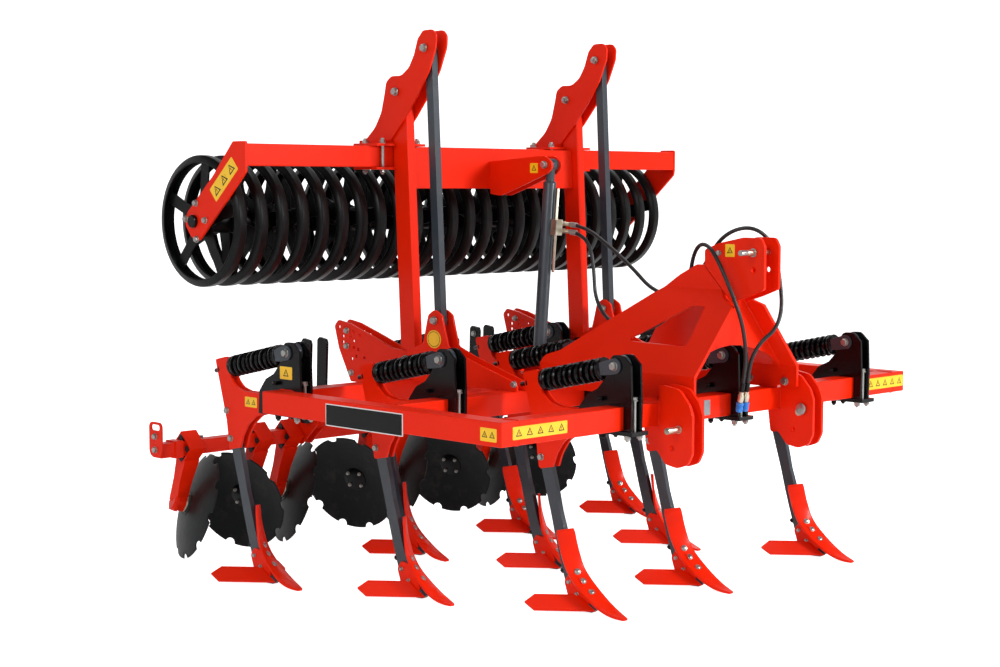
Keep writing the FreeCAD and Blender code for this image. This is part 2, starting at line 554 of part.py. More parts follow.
# ------------------------------------------------------------ roller frame
b = new_body("roller_beam")
RB0, RZ0, RH = d("rbeam_y"), d("rbeam_z"), d("rbeam_half")
sk = new_sketch(b, "YZ_Plane", (RB0, RZ0, -RH), ex="Dims.rbeam_y", ey="Dims.rbeam_z", ez="-Dims.rbeam_half")
rect(sk, 0, 0, T, T, "Dims.tube", "Dims.tube")
pad(b, sk, 2 * RH, "2 * Dims.rbeam_half")
sk = new_sketch(b, "YZ_Plane", (RB0 + 8, RZ0 + 8, -RH), ex="Dims.rbeam_y + Dims.tube_wall", ey="Dims.rbeam_z + Dims.tube_wall", ez="-Dims.rbeam_half")
rect(sk, 0, 0, T - 16, T - 16, "Dims.tube - 2 * Dims.tube_wall", "Dims.tube - 2 * Dims.tube_wall")
pocket(b, sk, 2 * RH, "2 * Dims.rbeam_half", rev=True)

ENDP = [(1548, 2044, 10), (1640, 2044, 14), (1790, 1890), (1990, 1720, 40), (2012, 1668, 40), (1960, 1606, 40), (1905, 1590, 20), (1700, 1770), (1552, 1905), (1548, 1932)]
b = new_body("roller_end_plates")
for s in (-1, 1):
    x0 = RH + 0.2 if s > 0 else -RH - 12.2
    slab(b, ENDP, x0, 12, holes=[(d("roller_y"), d("roller_z"), d("stub_d") / 2 + 3)],
         ex=("Dims.rbeam_half + 0.2" if s > 0 else "-Dims.rbeam_half - 12.2"))
b = new_body("roller_bearings")
for s in (-1, 1):
    x0 = RH - 28 if s > 0 else -RH
    disk(b, d("roller_y"), d("roller_z"), 62, x0, 28, hole=d("stub_d") / 2 + 0.05)

CURVE = [(1358, 2533, 30), (1322, 2570, 30), (1258, 2572, 30), (1232, 2545, 30), (1236, 2490, 60), (1281, 2384, 120), (1358, 2271, 200), (1446, 2168, 300), (1552, 2062),
         (1734, 2062), (1660, 2125, 120), (1615, 2196, 120), (1590, 2290, 60), (1580, 2340, 40), (1543, 2366, 40), (1472, 2366, 60), (1419, 2402, 80), (1384, 2459, 80)]
for side, label in ((-1, "roller_bracket_right"), (1, "roller_bracket_left")):
    b = new_body(label)
    for s in (-1, 1):
        x0 = side * d("mast_x") + (d("plate_in") if s > 0 else -d("plate_in") - d("plate_t"))
        e = "%sDims.mast_x %s" % ("-" if side < 0 else "", "+ Dims.plate_in" if s > 0 else "- Dims.plate_in - Dims.plate_t")
        slab(b, CURVE, x0, d("plate_t"), holes=[TOP_C + (15,), TOP_D + (15,)], ex=e, et="Dims.plate_t")
    # clamp plate on the beam
    slab(b, [(1552, 2036.5), (1740, 2036.5), (1740, 2063), (1552, 2063)], side * d("mast_x") - 70, 140, ex="%sDims.mast_x - 70" % ("-" if side < 0 else ""))

# ------------------------------------------------------------------ roller
b = new_body("roller_drum", at=(0, d("roller_y"), d("roller_z")))
n = int(d("ring_count"))
RHF, RW = d("roller_half"), d("ring_w")
sk = new_sketch(b, "YZ_Plane", (0, 0, -RHF), ez="-Dims.roller_half")
circle(sk, 0, 0, d("roller_tube_d") / 2)
pad(b, sk, 2 * RHF, "2 * Dims.roller_half")
sk = new_sketch(b, "YZ_Plane", (0, 0, -RHF), ez="-Dims.roller_half")
circle(sk, 0, 0, d("ring_d") / 2)
circle(sk, 0, 0, d("ring_in") / 2)
ring = pad(b, sk, RW, "Dims.ring_w")
spokes = []
for k in range(5):
    sk = new_sketch(b, "YZ_Plane", (0, 0, -RHF + RW / 2 - 6), ez="-Dims.roller_half + Dims.ring_w / 2 - 6")
    a = math.radians(90 + 72 * k)
    c, s_ = math.cos(a), math.sin(a)
    q = lambda r, t: (r * c - t * s_, r * s_ + t * c)
    draw(sk, [q(50, -26), q(d("ring_in") / 2 + 4, -20), q(d("ring_in") / 2 + 4, 20), q(50, 26)])
    spokes.append(pad(b, sk, 12))
doc.recompute()
lp = b.newObject("PartDesign::LinearPattern", "RingPattern")
lp.Originals = [ring] + spokes
lp.Direction = (role(b, "X_Axis"), [""])
lp.Length = 2 * RHF - RW
lp.Occurrences = n
lp.setExpression("Length", "2 * Dims.roller_half - Dims.ring_w")
lp.setExpression("Occurrences", "Dims.ring_count")
b.Tip = lp
for s in (-1, 1):
    sk = new_sketch(b, "YZ_Plane", (0, 0, RHF if s > 0 else -RHF - 62))
    circle(sk, 0, 0, d("stub_d") / 2)
    pad(b, sk, 62)

# --------------------------------------------------------------- disc gang
b = new_body("gang_tube")
GY, GZ, GT = d("gang_y"), d("gang_z"), d("gang_tube")
sk = new_sketch(b, "YZ_Plane", (GY, GZ, -1480), ex="Dims.gang_y", ey="Dims.gang_z")
rect(sk, 0, 0, GT, GT, "Dims.gang_tube", "Dims.gang_tube")
pad(b, sk, 2960)

# carriers behind the rear beam: a bar on each side, and a pair of plates on the tube
b = new_body("gang_carriers")
for side in (-1, 1):
    xm = side * d("mast_x")
    slab(b, [(1518, 824), (1518, 914), (1560, 914, 40), (2132, 706, 30), (2226, 680, 10), (2226, 604), (2160, 612, 30), (1610, 806, 60), (1575, 824, 20)], xm - 22, 44,
         ex="%sDims.mast_x - 22" % ("-" if side < 0 else ""))
    for s in (-1, 1):
        x0 = xm + (22 if s > 0 else -34)
        slab(b, [(2120, 720), (2226, 686, 20), (2352, 660, 30), (2352, 526, 12), (2240, 526, 12), (2110, 640, 30)], x0, 12,
             holes=[], ex="%sDims.mast_x %s" % ("-" if side < 0 else "", "+ 22" if s > 0 else "- 34"))
# each plate is notched for the square tube
sk = new_sketch(b, "YZ_Plane", (GY, GZ, -700), ex="Dims.gang_y", ey="Dims.gang_z")
rect(sk, 0, 0, GT, GT, "Dims.gang_tube", "Dims.gang_tube")
pocket(b, sk, 1400, rev=True)

# twin black ears that the lowered arms come down between
b = new_body("gang_ears")
for side in (-1, 1):
    xm = side * d("mast_x")
    for s in (-1, 1):
        x0 = xm + (45 if s > 0 else -59)
        slab(b, [(2150, 640, 15), (2218, 640, 15), (2206, 1060, 14), (2190, 1074, 8), (2140, 1066, 12), (2132, 1048, 14)], x0, 14,
             ex="%sDims.mast_x %s" % ("-" if side < 0 else "", "+ 45" if s > 0 else "- 59"))
    # spacers that hold each ear to the carrier
    for s in (-1, 1):
        disk(b, 2184, 672, 14, xm + (34 if s > 0 else -45), 11)

# end sleeves, collars and handle plates
b = new_body("gang_ends")
for s in (-1, 1):
    x0 = 1196 if s > 0 else -1400
    sk = new_sketch(b, "YZ_Plane", (GY - 7, GZ - 7, x0))
    draw(sk, [(0, 0, 6), (GT + 14, 0, 6), (GT + 14, GT + 14, 6), (0, GT + 14, 6)])
    draw(sk, [(7, 7), (GT + 7, 7), (GT + 7, GT + 7), (7, GT + 7)])
    pad(b, sk, 45)
    x0 = 1480 if s > 0 else -1488
    sk = new_sketch(b, "YZ_Plane", (0, 0, x0))
    draw(sk, [(2238, 540, 40), (2342, 540, 40), (2342, 712, 26), (2238, 712, 26)])
    draw(sk, [(2256, 672, 12), (2324, 672, 12), (2324, 700, 12), (2256, 700, 12)])
    pad(b, sk, 8)

ARMS = [(-1204, 1), (-590, 1), (184, 1), (886, 1), (-960, -1), (-210, -1), (496, -1), (1204, -1)]
yaw, tilt = math.radians(d("disc_yaw")), math.radians(d("disc_tilt"))
HOUSE = {496: 512.0}
arm_shapes, rubber, AXES = [], [], []
ARMS.sort()
CY, CZ = GY + GT / 2, GZ + GT / 2
HS = d("housing") / 2
diamond = FreeCAD.Rotation(V(1, 0, 0), 45)
for i, (x, s) in enumerate(ARMS, 1):
    # unit axis of the disc, pointing to its hollow side
    nrm = V(s * math.cos(yaw) * math.cos(tilt), -math.sin(yaw) * math.cos(tilt), -math.sin(tilt))
    c = V(x, d("disc_y"), d("disc_z"))
    AXES.append((i, c, nrm))
    xc = HOUSE.get(x, x - s * d("hub_off"))

    def turned_box(half, length):
        bx = Part.makeBox(length, 2 * half, 2 * half, V(-length / 2, -half, -half))
        bx.Placement = FreeCAD.Placement(V(xc, CY, CZ), diamond)
        return bx

    housing = turned_box(HS, 90)
    # arm: a flat bar from under the housing, bent outwards to the hub plate
    hub = c - nrm * 104
    top = V(xc, CY + 6, CZ - 50)
    u = (hub - top).normalize()
    side = (V(1, 0, 0) - u * u.x).normalize()
    back = u.cross(side)
    ring = lambda o, a, bb: Part.makePolygon([o + side * p + back * q for p, q in ((-a, -bb), (a, -bb), (a, bb), (-a, bb), (-a, -bb))])
    wt, wm, wh = (38, 28, 24) if x in HOUSE else (44, 38, 30)
    arm = Part.makeLoft([ring(top, wt, 36), ring(top + (hub - top) * 0.5, wm, 27), ring(hub, wh, 33)], True, True)
    axle = Part.makeCylinder(46, 62, c - nrm * 134, nrm)
    foot = Part.makeBox(16, 96, 112, V(-8, -48, -50))
    foot.Placement = FreeCAD.Placement(c - nrm * 118, FreeCAD.Rotation(V(1, 0, 0), nrm))
    sol = housing.fuse([arm, axle, foot]).removeSplitter()
    sol = sol.cut(turned_box(HS - 8, 400))
    sol = sol.cut(Part.makeCylinder(17, 80, c - nrm * 126, nrm))
    arm_shapes.append(sol)
    r = 15.4
    for k in range(4):
        a = math.pi / 2 * k
        rubber.append(Part.makeCylinder(r, 96, V(xc - 48, CY + 49.6 * math.cos(a), CZ + 49.6 * math.sin(a)), V(1, 0, 0)))
arms = doc.addObject("Part::Feature", "gang_arms")
arms.Label = "gang_arms"
arms.Shape = Part.makeCompound(arm_shapes)
arms.setExpression(".Placement.Base.y", "-Dims.yc")
PARTS.append(arms)
cords = doc.addObject("Part::Feature", "gang_rubbers")
cords.Label = "gang_rubbers"
cords.Shape = Part.makeCompound(rubber)
cords.setExpression(".Placement.Base.y", "-Dims.yc")
PARTS.append(cords)
hubs = doc.addObject("Part::Feature", "disc_hubs")
hubs.Label = "disc_hubs"
hubs.Shape = Part.makeCompound([Part.makeCylinder(17, 60, c - n * 122, n).fuse(Part.makeCylinder(44, 10, c - n * 72, n)).cut(Part.makeCylinder(15.05, 62, c - n * 121, n)) for i, c, n in AXES])
hubs.setExpression(".Placement.Base.y", "-Dims.yc")
PARTS.append(hubs)

for i, c, nrm in AXES:
    # dished disc: local Z is the disc's axis, hollow side towards +Z
    rot = FreeCAD.Rotation(V(0, 0, 1), nrm)
    b = new_body("disc_%d" % i, at=(c.x, c.y, c.z), rot=rot)
    R, dish, t = d("disc_d") / 2, d("disc_dish"), d("disc_t")
    # spherical dish whose rim plane passes through the centre point
    rs = (R * R + dish * dish) / (2 * dish)
    z0 = -dish
    inner, outer = [], []
    for k in range(7):
        r = 60 + (R - 60) * k / 6.0
        inner.append((r, rs + z0 - math.sqrt(rs * rs - r * r)))
    outer = [(p[0], p[1] - t * 1.02) for p in inner]
    fl = z0 + rs - math.sqrt(rs * rs - 60 * 60)
    back = fl - t * 1.02
    prof = [(0, fl)] + inner + outer[::-1] + [(60, back), (60, back - 3), (15, back - 3), (15, -116), (0, -116)]
    turned(b, prof)
    sk = new_sketch(b, "XY_Plane", (0, 0, 30))
    NR, NW = 26, 27
    circle(sk, R + 4, 0, NR)
    pk = pocket(b, sk, 120)
    doc.recompute()
    pp = b.newObject("PartDesign::PolarPattern", "Notches%d" % i)
    pp.Originals = [pk]
    pp.Axis = (role(b, "Z_Axis"), [""])
    pp.Angle = 360
    pp.Occurrences = int(d("notch_n"))
    pp.setExpression("Occurrences", "Dims.notch_n")
    b.Tip = pp

doc.recompute()
# ------------------------------------------------------------------- hoses
# two pressure hoses from the valve block, through the headstock and over its
# neck to a pair of quick couplers that hang at the front
HOSE_UPPER = [(60, 1019.7, 1660.4), (60, 925, 1652), (50, 775, 1575), (36, 605, 1470), (12, 455, 1365), (4, 310, 1345), (4, 200, 1408), (0, 128, 1515), (-30, 10, 1640),
              (22, -107, 1679), (110, -163, 1598), (124, -185, 1450), (112, -212, 1310), (66, -210, 1218), (12, -176, 1172), (-2, -134, 1100), (14, -104, 1020), (24, -88, 938)]
HOSE_LOWER = [(60, 1022.5, 1624.5), (61, 944, 1616), (58, 878, 1545), (54, 856, 1430), (40, 835, 1310), (26, 750, 1215), (14, 620, 1172), (4, 470, 1178), (-10, 330, 1250), (-22, 242, 1350),
              (-28, 200, 1450), (-42, 170, 1545), (-74, 106, 1596), (-108, 26, 1584), (-122, -34, 1520), (-122, -80, 1440), (-112, -116, 1356), (-88, -138, 1265), (-56, -136, 1168),
              (-28, -120, 1078), (-12, -98, 1005), (-10, -86, 938)]


def hose(label, pts):
    """Round tube of straight runs joined by tangent arcs."""
    p = [V(*q) for q in pts]
    edges, start, radii = [], p[0], []
    for i in range(1, len(p) - 1):
        a, c = (p[i - 1] - p[i]), (p[i + 1] - p[i])
        t = 0.45 * min(a.Length, c.Length)
        ua, uc = V(a).normalize(), V(c).normalize()
        turn = math.pi - ua.getAngle(uc)
        radii.append(t / math.tan(turn / 2))
        e1, e2 = p[i] + ua * t, p[i] + uc * t
        mid = (ua + uc).normalize()
        m = p[i] + mid * (math.hypot(radii[-1], t) - radii[-1])
        edges.append(Part.LineSegment(start, e1).toShape())
        edges.append(Part.Arc(e1, m, e2).toShape())
        start = e2
    edges.append(Part.LineSegment(start, p[-1]).toShape())
    wire = Part.Wire(edges)
    r = d("hose_d") / 2
    prof = Part.Wire([Part.makeCircle(r, p[0], p[1] - p[0])])
    tube = wire.makePipeShell([prof], True, True)
    o = doc.addObject("Part::Feature", label)
    o.Label = label
    o.Shape = tube
    o.setExpression(".Placement.Base.y", "-Dims.yc")
    PARTS.append(o)
    print("%s radii %s length %.1f volume / (section x length) %.4f" % (label, [round(v) for v in radii], wire.Length, tube.Volume / (math.pi * r * r * wire.Length)))
    return p


CP = []
for label, pts in (("hose_upper", HOSE_UPPER), ("hose_lower", HOSE_LOWER)):
    p = hose(label, pts)
    u = (p[-1] - p[-2]).normalize()
    e = p[-1]
    body = Part.makeCylinder(11, 14, e, u).fuse(Part.makeCylinder(14, 30, e + u * 14, u)).fuse(Part.makeCylinder(12, 24, e + u * 44, u)).removeSplitter()
    CP.append(body)
o = doc.addObject("Part::Feature", "hose_couplers")
o.Label = "hose_couplers"
o.Shape = Part.makeCompound(CP)
o.setExpression(".Placement.Base.y", "-Dims.yc")
PARTS.append(o)

doc.recompute()

# ------------------------------------------------------------------ output
bad = [o.Name for o in doc.Objects if "Invalid" in o.State or "Error" in o.State]
if bad:
    raise SystemExit("failed objects: %s" % bad)
os.makedirs("parts", exist_ok=True)
for o in PARTS:
    s = o.Shape
    if s.isNull() or not s.isValid() or not s.Solids:
        raise SystemExit("bad shape: %s" % o.Label)
for o in PARTS:
    o.Shape.exportStep(os.path.join("parts", o.Label + ".step"))
    bb = o.Shape.BoundBox
    print("%-22s solids %2d  vol %9.3f dm3  x %7.0f %7.0f  y %7.0f %7.0f  z %7.0f %7.0f" % (
        o.Label, len(o.Shape.Solids), o.Shape.Volume / 1e6, bb.XMin, bb.XMax, bb.YMin, bb.YMax, bb.ZMin, bb.ZMax))
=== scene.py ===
# Stubble cultivator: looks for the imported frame.
import math, json
import bpy
from mathutils import Vector, Matrix


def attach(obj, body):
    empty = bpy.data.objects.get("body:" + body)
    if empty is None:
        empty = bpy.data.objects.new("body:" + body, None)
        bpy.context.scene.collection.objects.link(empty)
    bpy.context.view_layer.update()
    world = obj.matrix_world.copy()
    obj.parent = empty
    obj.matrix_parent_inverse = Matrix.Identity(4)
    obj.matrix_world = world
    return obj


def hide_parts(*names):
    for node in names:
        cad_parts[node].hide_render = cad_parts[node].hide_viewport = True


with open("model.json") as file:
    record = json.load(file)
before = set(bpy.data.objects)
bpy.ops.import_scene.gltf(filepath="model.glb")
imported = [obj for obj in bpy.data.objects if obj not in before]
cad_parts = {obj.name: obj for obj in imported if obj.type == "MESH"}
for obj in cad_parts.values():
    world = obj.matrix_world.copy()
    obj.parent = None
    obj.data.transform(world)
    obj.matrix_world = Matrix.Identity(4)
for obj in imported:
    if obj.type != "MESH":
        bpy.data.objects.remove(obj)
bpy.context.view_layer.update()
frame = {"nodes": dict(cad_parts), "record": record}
YC = 1182.5


def W(x, y, z):
    """Build frame in mm (front beam's face at Y 0) to the row's frame in m."""
    return Vector((x / 1000.0, (y - YC) / 1000.0, z / 1000.0))


def D(x, y, z):
    return Vector((x, y, z)).normalized()


# ------------------------------------------------------------------ camera
AZ, PITCH, ROLL = math.radians(-45.264), math.radians(4.753), math.radians(-0.18)
right = Vector((math.cos(AZ), math.sin(AZ), 0))
fwd = Vector((-math.sin(AZ) * math.cos(PITCH), math.cos(AZ) * math.cos(PITCH), -math.sin(PITCH)))
up = right.cross(fwd)
cx = math.cos(ROLL) * right - math.sin(ROLL) * up
cy = math.sin(ROLL) * right + math.cos(ROLL) * up
cam_data = bpy.data.cameras.new("camera")
cam = bpy.data.objects.new("camera", cam_data)
bpy.context.scene.collection.objects.link(cam)
m = Matrix.Identity(4)
for i in range(3):
    m[i][0], m[i][1], m[i][2] = cx[i], cy[i], -fwd[i]
cam.matrix_world = Matrix.Translation(Vector((-6.52005, -6.20471, 1.869))) @ m
cam_data.lens = 65.96
cam_data.sensor_width = 36.0
cam_data.clip_end = 200
bpy.context.scene.camera = cam

# --------------------------------------------------------------- materials
MATS = {}


def srgb(r, g, b):
    f = lambda c: (c / 255.0) / 12.92 if c <= 10 else ((c / 255.0 + 0.055) / 1.055) ** 2.4
    return (f(r), f(g), f(b), 1.0)


def material(name, base, rough=0.35, metallic=0.0, coat=0.0, vary=0.10, vscale=5.0, fine=220.0, bump=0.02, rvar=0.08,
             dust=None, dust_amount=0.0, spec=None, stretch=None):
    """A Principled surface with noise for colour, roughness and bump, and worn or dusty places."""
    mt = bpy.data.materials.new(name)
    mt.use_nodes = True
    nt = mt.node_tree
    nt.nodes.clear()
    N = nt.nodes.new
    L = nt.links.new
    out = N("ShaderNodeOutputMaterial")
    p = N("ShaderNodeBsdfPrincipled")
    L(p.outputs[0], out.inputs[0])
    co = N("ShaderNodeTexCoord")
    src = co.outputs["Object"]
    if stretch:
        mp = N("ShaderNodeMapping")
        mp.inputs["Scale"].default_value = stretch
        L(src, mp.inputs["Vector"])
        src = mp.outputs[0]
    n1 = N("ShaderNodeTexNoise")
    n1.inputs["Scale"].default_value = vscale
    n1.inputs["Detail"].default_value = 5
    n1.inputs["Roughness"].default_value = 0.6
    L(src, n1.inputs["Vector"])
    ramp = N("ShaderNodeValToRGB")
    ramp.color_ramp.elements[0].position = 0.3
    ramp.color_ramp.elements[1].position = 0.72
    lo = [c * (1 - vary) for c in base[:3]] + [1]
    hi = [min(1, c * (1 + vary)) for c in base[:3]] + [1]
    ramp.color_ramp.elements[0].color = lo
    ramp.color_ramp.elements[1].color = hi
    L(n1.outputs["Fac"], ramp.inputs["Fac"])
    col = ramp.outputs["Color"]
    n2 = N("ShaderNodeTexNoise")
    n2.inputs["Scale"].default_value = fine
    n2.inputs["Detail"].default_value = 3
    L(src, n2.inputs["Vector"])
    if dust:
        n3 = N("ShaderNodeTexNoise")
        n3.inputs["Scale"].default_value = 9.0
        n3.inputs["Detail"].default_value = 9
        n3.inputs["Roughness"].default_value = 0.72
        L(co.outputs["Object"], n3.inputs["Vector"])
        dr = N("ShaderNodeMapRange")
        dr.inputs["From Min"].default_value = 0.52
        dr.inputs["From Max"].default_value = 0.78
        dr.inputs["To Max"].default_value = dust_amount
        L(n3.outputs["Fac"], dr.inputs["Value"])
        mx = N("ShaderNodeMix")
        mx.data_type = "RGBA"
        L(dr.outputs[0], mx.inputs[0])
        L(col, mx.inputs[6])
        mx.inputs[7].default_value = dust
        col = mx.outputs[2]
    L(col, p.inputs["Base Color"])
    rr = N("ShaderNodeMapRange")
    rr.inputs["To Min"].default_value = max(0.03, rough - rvar)
    rr.inputs["To Max"].default_value = min(1.0, rough + rvar)
    L(n1.outputs["Fac"], rr.inputs["Value"])
    L(rr.outputs[0], p.inputs["Roughness"])
    p.inputs["Metallic"].default_value = metallic
    if spec is not None:
        p.inputs["Specular IOR Level"].default_value = spec
    if coat:
        p.inputs["Coat Weight"].default_value = coat
        p.inputs["Coat Roughness"].default_value = 0.12
    bp = N("ShaderNodeBump")
    bp.inputs["Strength"].default_value = bump
    bp.inputs["Distance"].default_value = 0.002
    L(n2.outputs["Fac"], bp.inputs["Height"])
    L(bp.outputs[0], p.inputs["Normal"])
    MATS[name] = mt
    return mt


RED = material("red_paint", srgb(233, 36, 4), rough=0.36, coat=0.05, spec=0.12, vary=0.05, vscale=2.2, fine=160, bump=0.03, dust=srgb(236, 58, 24), dust_amount=0.05)
BLACK = material("black_paint", srgb(7, 7, 9), rough=0.25, coat=0.14, spec=0.18, vary=0.25, vscale=4, fine=180, bump=0.03, dust=srgb(60, 56, 52), dust_amount=0.06)
SLATE = material("slate_paint", srgb(48, 56, 64), rough=0.32, coat=0.22, spec=0.45, vary=0.12, vscale=3, fine=180, bump=0.03, dust=srgb(120, 112, 102), dust_amount=0.14)
DRUM = material("drum_paint", srgb(9, 10, 11), rough=0.34, spec=0.18, vary=0.25, vscale=6, fine=120, bump=0.06, dust=srgb(60, 56, 52), dust_amount=0.05)
DISC = material("disc_steel", srgb(22, 25, 27), rough=0.42, metallic=0.2, spec=0.25, vary=0.22, vscale=7, fine=140, bump=0.05, dust=srgb(104, 96, 86), dust_amount=0.20)
STEEL = material("bright_steel", srgb(205, 207, 210), rough=0.16, metallic=1.0, vary=0.06, vscale=14, fine=500, bump=0.015)
ZINC = material("zinc_plate", srgb(206, 200, 180), rough=0.30, metallic=0.9, vary=0.16, vscale=18, fine=420, bump=0.03, dust=srgb(150, 140, 110), dust_amount=0.3)
BOLT = material("bolt_zinc", srgb(168, 168, 164), rough=0.30, metallic=0.85, vary=0.14, vscale=40, fine=600, bump=0.03)
RUBBER = material("rubber", srgb(24, 24, 25), rough=0.62, vary=0.18, vscale=14, fine=500, bump=0.12, dust=srgb(72, 70, 66), dust_amount=0.2)
HOSE = material("hose_rubber", srgb(20, 20, 22), rough=0.40, vary=0.15, vscale=20, fine=900, bump=0.10)
BLUE = material("blue_plastic", srgb(38, 120, 205), rough=0.35, vary=0.08, vscale=20, fine=300, bump=0.02)
YELLOW = material("yellow_film", srgb(248, 196, 30), rough=0.30, vary=0.05, vscale=12, fine=400, bump=0.01)
WHITE = material("white_film", srgb(232, 232, 230), rough=0.35, vary=0.04, vscale=12, fine=400, bump=0.01)
PLATE = material("data_plate", srgb(150, 154, 158), rough=0.30, metallic=0.8, vary=0.10, vscale=60, fine=700, bump=0.03)
PLASTIC = material("black_plastic", srgb(12, 12, 13), rough=0.5, spec=0.15, vary=0.15, vscale=18, fine=600, bump=0.06)

NODE_MAT = {"red_paint": RED, "black_paint": BLACK, "grey_paint": SLATE, "plated": ZINC, "steel": STEEL, "rubber": RUBBER}
slots = {s["node"]: s["material_slot"] for s in frame["record"]["subparts"]}
for name, ob in frame["nodes"].items():
    mt = NODE_MAT.get(slots.get(name), RED)
    if name.startswith("disc_") and name != "disc_hubs":
        mt = DISC
    if name == "roller_drum":
        mt = DRUM
    if not ob.material_slots:
        ob.data.materials.append(mt)
    for s in ob.material_slots:
        s.material = mt
    # welded, slightly rounded edges catch the light as sheared and painted steel does
    w = ob.modifiers.new("weld", "WELD")
    w.merge_threshold = 0.00002
    if name not in ("roller_drum", "cylinder_rod", "gang_rubbers"):
        bv = ob.modifiers.new("bevel", "BEVEL")
        bv.width = 0.006 if name.startswith(("mast", "upper_link")) else 0.004 if name.startswith(("beam", "roller_beam", "gang_tube")) else 0.0016
        bv.segments = 2
        bv.limit_method = "ANGLE"
        bv.angle_limit = math.radians(38)
        bv.harden_normals = True


